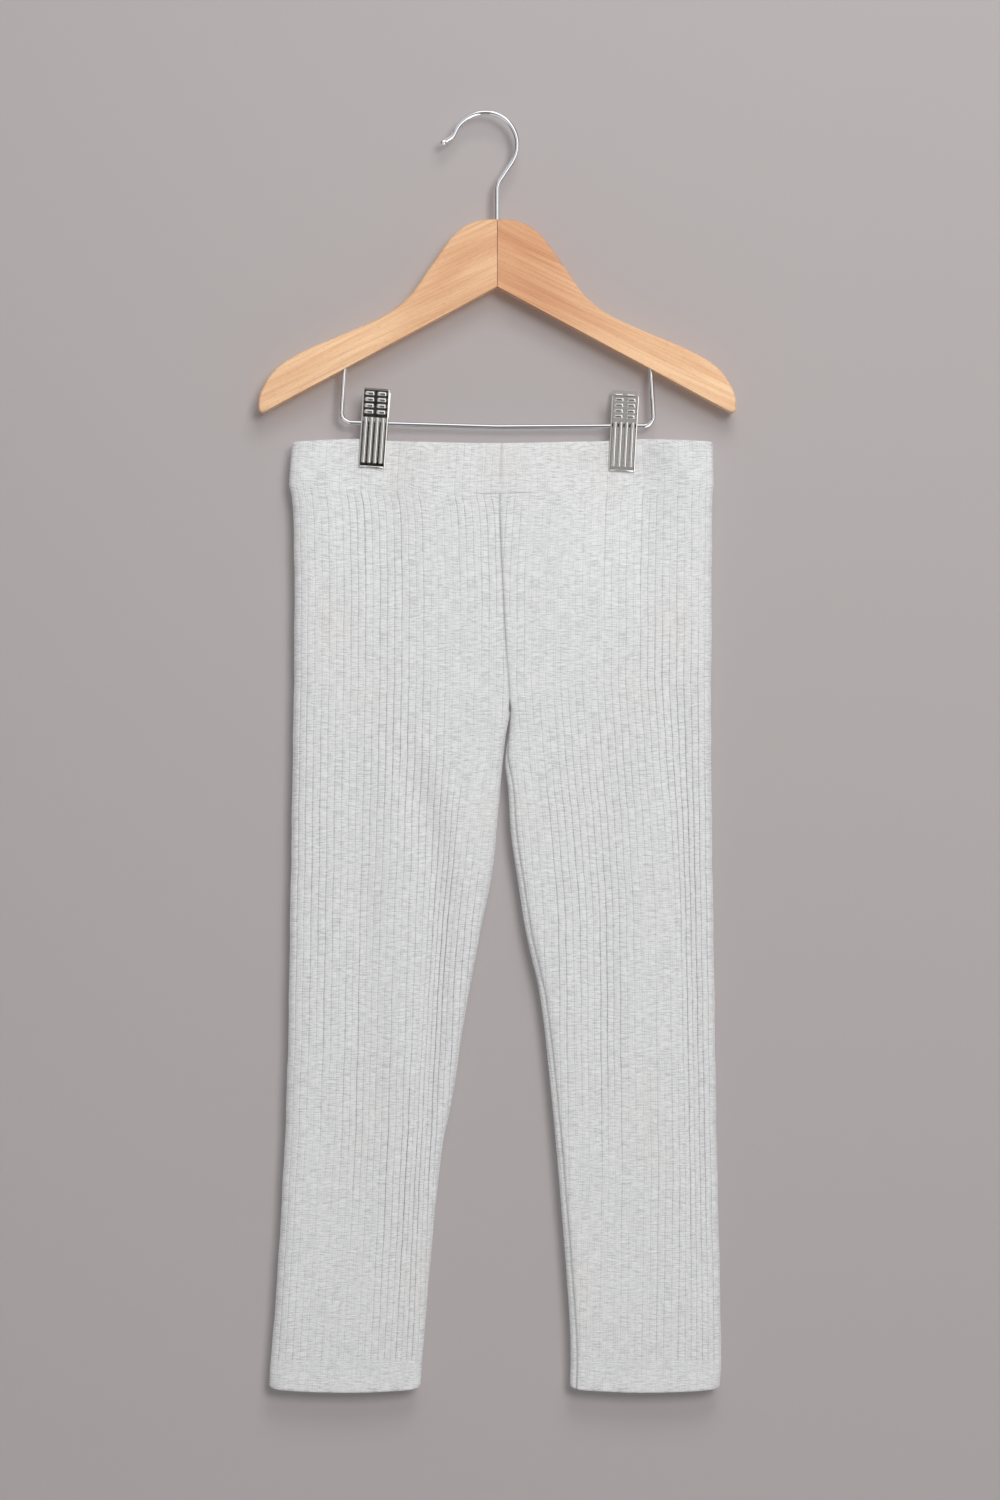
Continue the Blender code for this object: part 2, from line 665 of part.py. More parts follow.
def add_jaw(clip, face, parent, frame, material):
    """A plate with a lever above the bar and, at each side, an ear that the bar runs through."""
    sign = 1 if face == "front" else -1
    half = JAW_WIDTH / 2
    mesh_data = bmesh.new()
    profile = jaw_profile()
    ends = []
    for x in (-half, half):
        ends.append([mesh_data.verts.new(Vector((x, sign * y, z)) * MM) for y, z in profile])
    count = len(profile)
    for step in range(count // 2 - 1):
        for ring in ends:
            mesh_data.faces.new((ring[step], ring[step + 1], ring[count - 2 - step], ring[count - 1 - step]))
    for step in range(count):
        after = (step + 1) % count
        mesh_data.faces.new((ends[0][step], ends[0][after], ends[1][after], ends[1][step]))
    jaw = object_from_bmesh(f"clip_{clip.side}_{face}_jaw", mesh_data, parent, material)

    outer_x = half if face == "front" else half - EAR_PLATE - 0.4
    for ear in (-1, 1):
        ear_data = bmesh.new()
        inner_x = outer_x - EAR_PLATE
        low_x, high_x = sorted((ear * inner_x, ear * outer_x))
        low_y, high_y = sorted((-sign * (JAW_PIVOT_HALF_GAP - JAW_PLATE / 2), sign * EAR_OVERHANG))
        low = (low_x, low_y, -EAR_HEIGHT * 0.6)
        high = (high_x, high_y, EAR_HEIGHT * 0.4)
        add_box(ear_data, [value * MM for value in low], [value * MM for value in high])
        ear_mesh = bpy.data.meshes.new("ear")
        ear_data.to_mesh(ear_mesh)
        ear_data.free()
        tool = bpy.data.objects.new(f"ear_{clip.side}_{face}_{ear}", ear_mesh)
        bpy.context.scene.collection.objects.link(tool)
        tool.parent = parent
        cutter(tool)
        modifier = jaw.modifiers.new("ear", "BOOLEAN")
        modifier.operation = "UNION"
        modifier.solver = "EXACT"
        modifier.object = tool
    start, end = (BAR_POINTS[1], BAR_POINTS[2]) if clip.side == "left" else (BAR_POINTS[2], BAR_POINTS[3])
    along = Vector((end.x - start.x, 0, end.z - start.z)).normalized() * 14 * MM
    middle = Vector((clip.x, 0, clip.z)) * MM
    name = f"cut_pivot_{clip.side}_{face}"
    bore = cylinder_between(name, middle - along, middle + along, (BAR_WIRE_RADIUS + GAP) * MM, frame)
    cut(jaw, cutter(bore))
    return jaw


def add_spring(clip, frame, material):
    """The coil round the bar that closes a clip, as a tube of its reach along the bar."""
    start, end = (BAR_POINTS[1], BAR_POINTS[2]) if clip.side == "left" else (BAR_POINTS[2], BAR_POINTS[3])
    along = Vector((end.x - start.x, 0, end.z - start.z)).normalized()
    middle = Vector((clip.x, 0, clip.z))
    across = Vector((0, 1, 0))
    upward = along.cross(across)
    sides = 16
    rings = []
    mesh_data = bmesh.new()
    for radius, offset in (
        (SPRING_OUTER_RADIUS, -SPRING_HALF_LENGTH),
        (SPRING_OUTER_RADIUS, SPRING_HALF_LENGTH),
        (SPRING_INNER_RADIUS, SPRING_HALF_LENGTH),
        (SPRING_INNER_RADIUS, -SPRING_HALF_LENGTH),
    ):
        ring = []
        for step in range(sides):
            angle = 2 * math.pi * step / sides
            spoke = across * math.cos(angle) + upward * math.sin(angle)
            ring.append(mesh_data.verts.new((middle + along * offset + spoke * radius) * MM))
        rings.append(ring)
    for ring, other in zip(rings, rings[1:] + rings[:1]):
        for step in range(sides):
            after = (step + 1) % sides
            mesh_data.faces.new((ring[step], ring[after], other[after], other[step]))
    return object_from_bmesh(f"clip_{clip.side}_spring", mesh_data, frame, material)


def add_hanger(frame, hook_path, hook_shares):
    wood = finish_material("beech_lacquered", (0.69, 0.40, 0.22), 0.45, 0.0)
    chrome = finish_material("chrome_wire", (0.80, 0.80, 0.80), 0.12, 1.0)
    nickel = finish_material("nickel_plate", (0.62, 0.60, 0.57), 0.25, 1.0)
    add_wood_arm("left", -1, frame, wood)
    add_wood_arm("right", 1, frame, wood)
    shifted = [point + Vector((-frame.location.x / MM, 0, 0)) for point in hook_path]
    wire("hook", shifted, hook_shares, HOOK_WIRE_RADIUS, frame, chrome)
    corners = [Vector((point.x, 0, point.z)) for point in BAR_POINTS]
    bar = rounded_path(corners, BAR_CORNER_RADIUS)
    wire("trouser_bar", bar, [1.0] * len(bar), BAR_WIRE_RADIUS, frame, chrome)
    for clip in CLIPS:
        holder = bpy.data.objects.new(f"clip_frame_{clip.side}", None)
        bpy.context.scene.collection.objects.link(holder)
        holder.parent = frame
        holder.location = Vector((clip.x, 0, clip.z)) * MM
        holder.rotation_euler = (math.radians(clip.tilt), math.radians(clip.lean), 0)
        for face in ("front", "back"):
            add_jaw(clip, face, holder, frame, nickel)
        add_spring(clip, frame, nickel)


def add_leggings(frame):
    knit = finish_material("rib_knit", (0.72, 0.73, 0.74), 0.9, 0.0)
    for side, rows in (("left", LEFT_ROWS), ("right", RIGHT_ROWS)):
        add_leg(side, rows, frame, knit)
        add_leg_tube(side, "thigh", LEG_CUTS["shin"], rows, frame, knit)
        add_leg_tube(side, "shin", MESH_ROWS[-1], rows, frame, knit)
        add_hem(side, rows, frame, knit)
    add_waistband(frame, knit)


def main():
    clear_scene()
    hook_path, hook_shares, hanger_x = hook_points()
    frame = bpy.data.objects.new("hanger_centre", None)
    bpy.context.scene.collection.objects.link(frame)
    frame.location = (hanger_x * MM, 0, 0)
    add_leggings(frame)
    add_hanger(frame, hook_path, hook_shares)


main()
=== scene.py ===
"""Child's ribbed leggings held by the waistband on a wooden clip hanger.

Metres, +Z up, the front faces -Y. Tables are in millimetres from the hook's seat,
with x counted from the hanger's centre line. Left is -X, as seen from the front.
"""

from collections import namedtuple
import math

import bmesh
import bpy
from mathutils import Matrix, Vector
import numpy as np


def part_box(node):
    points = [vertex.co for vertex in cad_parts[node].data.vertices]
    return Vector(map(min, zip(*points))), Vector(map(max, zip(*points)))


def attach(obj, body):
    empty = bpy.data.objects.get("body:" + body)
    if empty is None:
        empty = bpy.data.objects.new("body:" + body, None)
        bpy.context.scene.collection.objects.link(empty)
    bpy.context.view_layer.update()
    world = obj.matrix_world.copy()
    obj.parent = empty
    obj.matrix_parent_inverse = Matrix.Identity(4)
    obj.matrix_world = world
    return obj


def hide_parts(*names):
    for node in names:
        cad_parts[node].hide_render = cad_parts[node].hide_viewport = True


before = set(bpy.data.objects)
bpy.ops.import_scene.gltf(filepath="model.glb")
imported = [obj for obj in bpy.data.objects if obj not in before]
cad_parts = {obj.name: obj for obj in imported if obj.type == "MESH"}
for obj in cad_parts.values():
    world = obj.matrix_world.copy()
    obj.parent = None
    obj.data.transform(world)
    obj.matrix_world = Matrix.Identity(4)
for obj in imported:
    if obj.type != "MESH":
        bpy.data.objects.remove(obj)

bl_info = {
    "name": "Ribbed Leggings on a Clip Hanger",
    "version": (1, 0, 0),
    "blender": (4, 5, 0),
    "location": "3D View > Sidebar > Leggings",
    "description": "Marled rib-knit leggings hung by two clips from a wooden hanger",
    "category": "Object",
}

MM = 0.001
COURSE_PITCH = 0.00085
HANGER_X = (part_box("wood_arm_left")[1].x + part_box("wood_arm_right")[0].x) / 2 / MM

# ---------------------------------------------------------------- cloth sizes, mm

BODY_HALF_DEPTH = 7.0
BAND_HALF_DEPTH = 6.4
HEM_HALF_DEPTH = 6.0
PINCHED_HALF_DEPTH = 2.85
OUTER_FOLD_REACH = 11.0
BAND_FOLD_REACH = 9.0
INNER_FOLD_REACH = 9.0
FLAT_SHARE = 0.86
CROTCH_Z = -374.0
CROTCH_CURVE_TOP_Z = -364.0
HEM_LINE_Z = -779.0
HEM_BOTTOM_Z = -799.4
BAND_LOWER_Z = -230.6
BAND_SEAM_SAG = 6.4
BAND_HEIGHT = 25.7
TOP_SHEAR_REACH = 80.0
PINCH_FADE = 90.0
PINCH_FLAT = 9.8
PINCH_REACH = 34.0
SWING_REACH = 46.0
CASING_WALL = 2.6
HEM_WALL = 2.6
JOIN = 0.02  # half the gap between cloth pieces that are sewn together

# z, side fold, inner edge; above the crotch the inner edge is the centre seam
LEG_ROWS = {
    "left": (
        (-205, -128.5, 2.6), (-231, -130.3, 1.3), (-241, -128.6, 1.5), (-256, -127.5, 1.9),
        (-322, -127.1, 4.8), (-374, -127.6, 8.0), (-387, -127.8, 5.6), (-405, -128.2, 3.5),
        (-440, -128.7, 0.3), (-472, -129.2, -2.7), (-509, -129.9, -10.0), (-570, -130.8, -21.2),
        (-613, -132.0, -27.6), (-645, -133.2, -34.0), (-683, -135.2, -38.5),
        (-730, -138.0, -42.8), (-777, -141.6, -46.7), (-799, -143.2, -48.0),
    ),
    "right": (
        (-205, 134.9, 2.6), (-231, 135.5, 1.3), (-241, 134.9, 1.5), (-256, 134.5, 1.9),
        (-322, 134.3, 4.8), (-374, 133.8, 8.0), (-387, 133.9, 7.0), (-405, 134.1, 4.8),
        (-421, 134.2, 6.6), (-451, 134.6, 8.5), (-481, 134.9, 13.0), (-513, 135.5, 18.0),
        (-552, 136.1, 26.7), (-624, 137.1, 34.7), (-668, 138.0, 38.6),
        (-741, 139.7, 44.3), (-772, 140.2, 45.8), (-799, 139.8, 45.4),
    ),
}
SEAM_OFFSET = {"left": 7.0, "right": -6.0}  # inseam past the inner edge: back +, front -
BAND_TOP = (
    (-129, -204.9), (-87, -202.6), (-60, -204.2), (0, -205.4), (62, -204.0), (90, -202.6),
    (135, -204.6),
)
# Soft folds: path from top through a bend to the foot, half width, depth, cloth taken up
Fold = namedtuple("Fold", "face top_x top_z mid_x mid_z foot_x foot_z half_width depth taken")
FOLDS = (
    Fold("front", -61, -384, -35, -498, -51, -676, 10.0, 2.4, 11.0),
    Fold("front", -84, -405, -84, -540, -82, -640, 11.0, 1.6, 3.0),
    Fold("front", -77, -238, -76, -270, -74, -318, 11.0, 1.4, 0.1),
    Fold("front", 68, -376, 67, -480, 64, -600, 13.0, 1.5, 3.0),
    Fold("front", 112, -345, 119, -470, 124, -690, 9.0, 1.6, 8.0),
    Fold("front", -1, -352, -6, -392, -12, -432, 4.0, 0.9, 0.0),
    Fold("back", -70, -300, -58, -450, -80, -620, 13.0, 2.0, 8.0),
    Fold("back", -108, -420, -112, -560, -116, -700, 10.0, 1.4, 3.0),
    Fold("back", 50, -395, 72, -520, 78, -670, 12.0, 2.2, 7.0),
    Fold("back", 96, -330, 104, -440, 106, -560, 11.0, 1.5, 4.0),
)
FOLD_END_FADE = 40.0
RIB_STRENGTH = {"left": 0.50, "right": 0.47, "back": 0.45}

Clip = namedtuple("Clip", "side x z lean tilt")
CLIPS = (Clip("left", -76.8, -193.0, 4.0, 0.0), Clip("right", 79.2, -194.7, 2.6, 12.0))
JAW_DROP = 28.3

RIB_SHARES = (0.0, 0.055, 0.13, 0.30, 0.50, 0.70, 0.87, 0.945)  # columns across one rib
LONGEST_CLOTH = {"leg": 156.0, "hem": 132.0, "band": 136.0}  # from a side fold to a seam, at most
SEAM_FLAP = (1.3, 3.0)  # depths of cloth turned in along the centre seam
WAIST_SEAM_TURNED = (2.0, 1.2)  # depths of cloth turned in along the waist seam
SEAM_ALLOWANCE_HALF = (3.0, 0.45)  # half its width and half its thickness
HEM_STITCH_GAP = 3.4
STITCH_PITCH = 3.1
STITCH_RINGS = ((-1.1, 0.10), (-0.8, 0.24), (0.0, 0.27), (0.8, 0.24), (1.1, 0.10))  # place, radius
STITCH_SIDES = 6

# ---------------------------------------------------------------- hanger sizes, mm

WOOD_ROUNDING = 1.9
WOOD_TOP_EDGE = (
    (0, -65.8), (14, -67.4), (27, -75.4), (42.3, -96.1), (55.7, -114.5), (75.2, -128.3),
    (119.3, -147.4), (138.8, -159.6), (148.2, -174.5), (149.4, -184.5),
)
WOOD_TIP = (147.4, -187.2)
WOOD_UNDERSIDE_MIDDLE_Z = -108.0
JOINT_GAP = 0.15
JOINT_CHAMFER = 0.12
UNDERSIDE_CHAMFER = {"left": (1.2, 2), "right": (1.9, 1)}  # width, steps
WOOD_BORE_CLEARANCE = 0.3
UNDERSIDE_GROOVE = (126.0, 1.6, 2.8)  # run along X, width, twice its depth

HOOK_WIRE_RADIUS = 1.65
HOOK_BALL_RADIUS = 2.1
Move = namedtuple("Move", "length radius turn")
HOOK_MOVES = (
    Move(41.0, 0, 0), Move(0, 11.0, -34), Move(12.9, 0, 0), Move(0, 20.2, 193),
    Move(0, 5.0, -36), Move(4.6, 0, 0),
)
HOOK_THROAT_MOVE = 3

BAR_WIRE_RADIUS = 1.5
BAR_CORNER_RADIUS = 6.0
BAR_POINTS = (
    (-95.1, -151.0), (-97.9, -192.4), (0.0, -195.2), (98.2, -194.6), (95.6, -151.0),
)

JAW_WIDTH = 16.6
JAW_PLATE = 0.9
LEVER_LENGTH = 22.0
LEVER_BENDS = ((2.4, 6.5), (0.8, 7.0), (-0.8, 6.5))  # height, degrees
RIM_WIDTH = 0.75
RECESS_DEPTH = 0.45
PAD_SIZE = (6.2, 2.3, 2.7)
PAD_COLUMN_X = 3.75
PAD_LOWEST_Z = 6.9
PAD_STEP = 3.95
FLUTE_RADIUS = 1.32
FLUTE_LENGTH = 28.7
FLUTE_STEP = 3.6
JAW_PIVOT_HALF_GAP = 5.0
EAR_PLATE = 0.8
EAR_BORE_CLEARANCE = 0.25
JAW_CLOSING = 0.93  # how far a jaw runs in towards the cloth
BAR_SLOPE = {"left": 1.65, "right": -0.35}  # degrees, where each clip sits

SPRING_TURNS = 5.5
SPRING_HALF_LENGTH = 5.0
SPRING_RADIUS = 2.5
SPRING_WIRE_RADIUS = 0.5
SPRING_LEG = 7.5

# ---------------------------------------------------------------- stage

PICTURE_CENTRE = (1.7, 0, -397.6)  # mm
WALL_Y = 0.0148
FLOOR_Z = -1.8
CAMERA_Y = -2.5
CAMERA_LENS = 95.8
# What the metal mirrors: brightness from straight down (-1) to straight up (1)
STUDIO_BANDS = (
    (-1.0, 0.55), (-0.80, 0.55), (-0.74, 0.02), (-0.56, 0.02), (-0.51, 0.48), (-0.30, 0.48),
    (-0.20, 0.02), (0.05, 0.02), (0.16, 0.60), (0.42, 0.60), (0.52, 2.3), (0.86, 2.3), (0.93, 0.10),
    (1.0, 0.10),
)
# and, away from the middle, from the left (-1) to the right (1)
STUDIO_SIDES = (
    (-1.0, 0.03), (-0.84, 0.03), (-0.76, 0.85), (-0.24, 0.85), (0.16, 2.3), (0.56, 2.3),
    (0.62, 0.35), (0.76, 0.35), (0.82, 0.03), (1.0, 0.03),
)


# ---------------------------------------------------------------- settings

def colour_property(name, description, default):
    return bpy.props.FloatVectorProperty(
        name=name, description=description, subtype="COLOR", size=3, min=0.0, max=1.0,
        default=default,
    )


def length_property(name, description, default, low, high):
    return bpy.props.FloatProperty(
        name=name, description=description, default=default, min=low, max=high,
        precision=5, subtype="DISTANCE", unit="LENGTH",
    )


class KnitSettings(bpy.types.PropertyGroup):
    """Sizes and colours of the rib knit."""

    light_yarn: colour_property("Light Yarn", "Off-white yarn of the marl", (0.815, 0.822, 0.832))
    grey_yarn: colour_property("Grey Yarn", "Grey yarn of the marl", (0.44, 0.445, 0.46))
    rib_pitch: length_property(
        "Rib Pitch", "From one rib groove to the next", 0.00454, 0.003, 0.008)
    groove_depth: length_property(
        "Groove Depth", "Depth of the deepest rib groove", 0.00045, 0.0, 0.001)
    wall: length_property(
        "Cloth Thickness", "Thickness of one layer of knit", 0.0014, 0.0008, 0.0016)


class WoodSettings(bpy.types.PropertyGroup):
    """Colours of the hanger's wood."""

    pale: colour_property("Pale Wood", "Beech between the grain lines", (0.95, 0.645, 0.40))
    warm: colour_property("Warm Wood", "Beech along the grain lines", (0.81, 0.485, 0.285))


class MetalSettings(bpy.types.PropertyGroup):
    """Colours of the wire and the clips."""

    chrome: colour_property("Chrome", "Polished wire", (0.80, 0.80, 0.81))
    nickel: colour_property("Nickel", "Nickel-plated clips", (0.70, 0.68, 0.65))


class StageSettings(bpy.types.PropertyGroup):
    """Colours and light of the studio."""

    wall: colour_property("Wall", "Backdrop behind the hanger", (0.448, 0.415, 0.417))
    floor: colour_property("Floor", "Pale floor below the hanger", (0.72, 0.71, 0.70))
    key_power: bpy.props.FloatProperty(
        name="Key Power", description="Power of the main light", default=42.0, min=0.0,
        max=2000.0, subtype="POWER", unit="POWER",
    )
    top_power: bpy.props.FloatProperty(
        name="Top Power", description="Power of the soft light above the front", default=7.6,
        min=0.0, max=2000.0, subtype="POWER", unit="POWER",
    )
    fill: bpy.props.FloatProperty(
        name="Fill", description="Strength of the light from all round", default=0.80, min=0.0,
        max=5.0, subtype="FACTOR",
    )


# ---------------------------------------------------------------- small tools

def at(x, y, z):
    """A point in metres from millimetres counted from the hanger's centre line."""
    return Vector(((HANGER_X + x) * MM, y * MM, z * MM))


def smoothstep(values):
    share = np.clip(values, 0.0, 1.0)
    return share * share * (3 - 2 * share)


def curve_values(points, places):
    """Values at places on a smooth curve through (place, value) pairs."""
    ordered = sorted((point[0], point[1]) for point in points)
    knots = np.array(ordered, float)
    place, value = knots[:, 0], knots[:, 1]
    count = len(place)
    before = np.maximum(np.arange(count) - 1, 0)
    after = np.minimum(np.arange(count) + 1, count - 1)
    slope = (value[after] - value[before]) / (place[after] - place[before])
    inside = np.clip(np.asarray(places, float), place[0], place[-1])
    index = np.clip(np.searchsorted(place, inside, side="right") - 1, 0, count - 2)
    span = place[index + 1] - place[index]
    share = (inside - place[index]) / span
    square, cube = share ** 2, share ** 3
    result = value[index] * (2 * cube - 3 * square + 1)
    result += value[index + 1] * (3 * square - 2 * cube)
    result += span * slope[index] * (cube - 2 * square + share)
    return result + span * slope[index + 1] * (cube - square)


def deselect_all():
    if bpy.context.object and bpy.context.object.mode != "OBJECT":
        bpy.ops.object.mode_set(mode="OBJECT")
    bpy.ops.object.select_all(action="DESELECT")


def pick(item, *others):
    """Selects an object, and others with it, and makes it the active one."""
    deselect_all()
    for each in (item, *others):
        each.select_set(True)
    bpy.context.view_layer.objects.active = item


def name_new(name):
    item = bpy.context.object
    item.name = name
    item.data.name = name
    return item


def settle(item):
    """Puts a piece's place, turn and size into its mesh."""
    pick(item)
    bpy.ops.object.transform_apply(location=True, rotation=True, scale=True)
    return item


def smooth(item, angle):
    pick(item)
    bpy.ops.object.shade_smooth_by_angle(angle=math.radians(angle))
    return item


def apply_modifier(item, kind, **values):
    pick(item)
    modifier = item.modifiers.new(kind.title(), kind)
    for key, value in values.items():
        setattr(modifier, key, value)
    bpy.ops.object.modifier_apply(modifier=modifier.name)
    return item


def cut_away(item, cutter):
    apply_modifier(item, "BOOLEAN", operation="DIFFERENCE", solver="EXACT", object=cutter)
    bpy.data.objects.remove(cutter, do_unlink=True)
    return item


def join(name, items):
    pick(items[0], *items[1:])
    bpy.ops.object.join()
    return name_new(name)


def edit_select(item, kind, chosen):
    """Enters edit mode with only the vertices, edges or faces that pass a test selected."""
    pick(item)
    bpy.ops.object.mode_set(mode="EDIT")
    bpy.ops.mesh.select_mode(type=kind)
    bpy.ops.mesh.select_all(action="DESELECT")
    edited = bmesh.from_edit_mesh(item.data)
    parts = {"VERT": edited.verts, "EDGE": edited.edges, "FACE": edited.faces}[kind]
    for part in parts:
        if chosen(part):
            part.select_set(True)
    edited.select_flush_mode()
    bmesh.update_edit_mesh(item.data)


def leave_edit():
    bpy.ops.object.mode_set(mode="OBJECT")


def bevel(item, chosen, width, segments, clamp=False):
    """Rounds the edges that pass a test, by a width in mm."""
    edit_select(item, "EDGE", chosen)
    bpy.ops.mesh.bevel(
        offset=width * MM, segments=segments, profile=0.5, affect="EDGES", clamp_overlap=clamp)
    leave_edit()


def face_outward():
    """Turns the faces of the piece in edit mode outward."""
    bpy.ops.mesh.select_all(action="SELECT")
    bpy.ops.mesh.normals_make_consistent(inside=False)


def new_block(name, size, location, rotation=(0, 0, 0)):
    """A block, its size in mm and its place in metres."""
    deselect_all()
    bpy.ops.mesh.primitive_cube_add(
        size=1.0, location=location, rotation=rotation, scale=Vector(size) * MM)
    return name_new(name)


def new_rod(name, vertices, radius, length, location, rotation=(0, 0, 0)):
    """A cylinder along Z, its sizes in mm and its place in metres."""
    deselect_all()
    bpy.ops.mesh.primitive_cylinder_add(
        vertices=vertices, radius=radius * MM, depth=length * MM, location=location,
        rotation=rotation)
    return name_new(name)


def finish_piece(item, material, slot, *nodes):
    """Gives a piece its finish, its body and the solids that it stands for."""
    item.data.materials.clear()
    item.data.materials.append(material)
    for polygon in item.data.polygons:
        polygon.material_index = 0
    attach(item, "root")
    if nodes:
        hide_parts(*nodes)
    return item


# ---------------------------------------------------------------- shader groups

def new_group(name, inputs, outputs):
    """An empty shader group, or the one of that name if it is there already."""
    if name in bpy.data.node_groups:
        return bpy.data.node_groups[name], None, None
    group = bpy.data.node_groups.new(name, "ShaderNodeTree")
    for label, kind, default in inputs:
        socket = group.interface.new_socket(label, in_out="INPUT", socket_type=kind)
        if default is not None:
            socket.default_value = default
    for label, kind in outputs:
        group.interface.new_socket(label, in_out="OUTPUT", socket_type=kind)
    return group, group.nodes.new("NodeGroupInput"), group.nodes.new("NodeGroupOutput")


class Wiring:
    """Adds nodes to a tree and links them."""

    def __init__(self, tree):
        self.tree = tree

    def add(self, kind, inputs=None, **values):
        node = self.tree.nodes.new(kind)
        for key, value in values.items():
            setattr(node, key, value)
        for socket, value in (inputs or {}).items():
            self.feed(node.inputs[socket], value)
        return node

    def shared(self, group, inputs):
        """One of the shader groups, fed."""
        node = self.add("ShaderNodeGroup", node_tree=group)
        for socket, value in inputs.items():
            self.feed(node.inputs[socket], value)
        return node

    def feed(self, socket, value):
        if isinstance(value, bpy.types.NodeSocket):
            self.tree.links.new(value, socket)
        else:
            socket.default_value = value

    def maths(self, operation, *values):
        node = self.tree.nodes.new("ShaderNodeMath")
        node.operation = operation
        for socket, value in zip(node.inputs, values):
            self.feed(socket, value)
        return node.outputs[0]

    def times(self, first, second):
        return self.maths("MULTIPLY", first, second)

    def mix(self, factor, first, second, blend="MIX"):
        node = self.tree.nodes.new("ShaderNodeMix")
        node.data_type = "RGBA"
        node.blend_type = blend
        self.feed(node.inputs["Factor"], factor)
        self.feed(node.inputs["A"], first)
        self.feed(node.inputs["B"], second)
        return node.outputs["Result"]

    def ramp(self, factor, low, high):
        """0 to 1 as a value goes from low to high, smoothly."""
        node = self.add(
            "ShaderNodeMapRange", {"Value": factor, "From Min": low, "From Max": high},
            interpolation_type="SMOOTHSTEP")
        return node.outputs["Result"]

    def noise(self, vector, scale, detail=2.0, roughness=0.5, distortion=0.0):
        node = self.add("ShaderNodeTexNoise", {
            "Vector": vector, "Scale": scale, "Detail": detail, "Roughness": roughness,
            "Distortion": distortion,
        })
        return node.outputs["Fac"]

    def stretched_noise(self, vector, scale, detail=2.0, roughness=0.5, distortion=0.0):
        """Noise with its own scale along each axis."""
        node = self.add("ShaderNodeMapping", {"Vector": vector, "Scale": scale})
        return self.noise(node.outputs["Vector"], 1.0, detail, roughness, distortion)

    def bump(self, shader, height, strength, distance):
        node = self.add(
            "ShaderNodeBump", {"Height": height, "Strength": strength, "Distance": distance})
        self.feed(shader.inputs["Normal"], node.outputs["Normal"])


def marl_group():
    """Short grey streaks of yarn along the courses of a knit. Position is in metres."""
    group, start, end = new_group(
        "Marled Yarn",
        [
            ("Position", "NodeSocketVector", None),
            ("Light", "NodeSocketColor", (0.8, 0.8, 0.8, 1.0)),
            ("Grey", "NodeSocketColor", (0.5, 0.5, 0.5, 1.0)),
            ("Amount", "NodeSocketFloat", 0.5),
        ],
        [("Color", "NodeSocketColor"), ("Streaks", "NodeSocketFloat")],
    )
    if start is None:
        return group
    wiring = Wiring(group)
    place = start.outputs["Position"]
    sway = wiring.stretched_noise(place, (60.0, 25.0, 1.0), 2.0)
    lift = wiring.times(wiring.maths("SUBTRACT", sway, 0.5), 0.004)
    apart = wiring.add("ShaderNodeSeparateXYZ", {"Vector": place})
    swayed = wiring.add("ShaderNodeCombineXYZ", {
        "X": apart.outputs["X"], "Y": wiring.maths("ADD", apart.outputs["Y"], lift),
    }).outputs[0]
    long_streaks = wiring.stretched_noise(swayed, (110.0, 1650.0, 1.0), 3.0, 0.6)
    short_streaks = wiring.stretched_noise(swayed, (280.0, 2300.0, 1.0), 2.0, 0.6)
    pale_streaks = wiring.stretched_noise(swayed, (150.0, 1850.0, 3.0), 2.0, 0.6)
    patches = wiring.stretched_noise(place, (38.0, 55.0, 1.0), 3.0, 0.6)
    streaks = wiring.maths("ADD", wiring.times(long_streaks, 0.60),
                           wiring.times(short_streaks, 0.40))
    level = wiring.maths("MULTIPLY_ADD", wiring.maths("SUBTRACT", patches, 0.5), 0.06, streaks)
    mask = wiring.ramp(level, 0.43, 0.64)
    share = wiring.times(mask, start.outputs["Amount"])
    colour = wiring.mix(share, start.outputs["Light"], start.outputs["Grey"])
    pale = wiring.times(wiring.ramp(pale_streaks, 0.52, 0.70), 0.55)
    colour = wiring.mix(pale, colour, (0.93, 0.93, 0.93, 1.0))
    blue = wiring.ramp(wiring.stretched_noise(swayed, (75.0, 900.0, 1.0), 1.0), 0.57, 0.72)
    colour = wiring.mix(wiring.times(blue, 0.10), colour, (0.42, 0.46, 0.58, 1.0))
    warm = wiring.ramp(wiring.stretched_noise(place, (16.0, 12.0, 1.0), 2.0), 0.50, 0.75)
    colour = wiring.mix(wiring.times(warm, 0.14), colour, (0.80, 0.72, 0.64, 1.0))
    wiring.feed(end.inputs["Color"], colour)
    wiring.feed(end.inputs["Streaks"], mask)
    return group


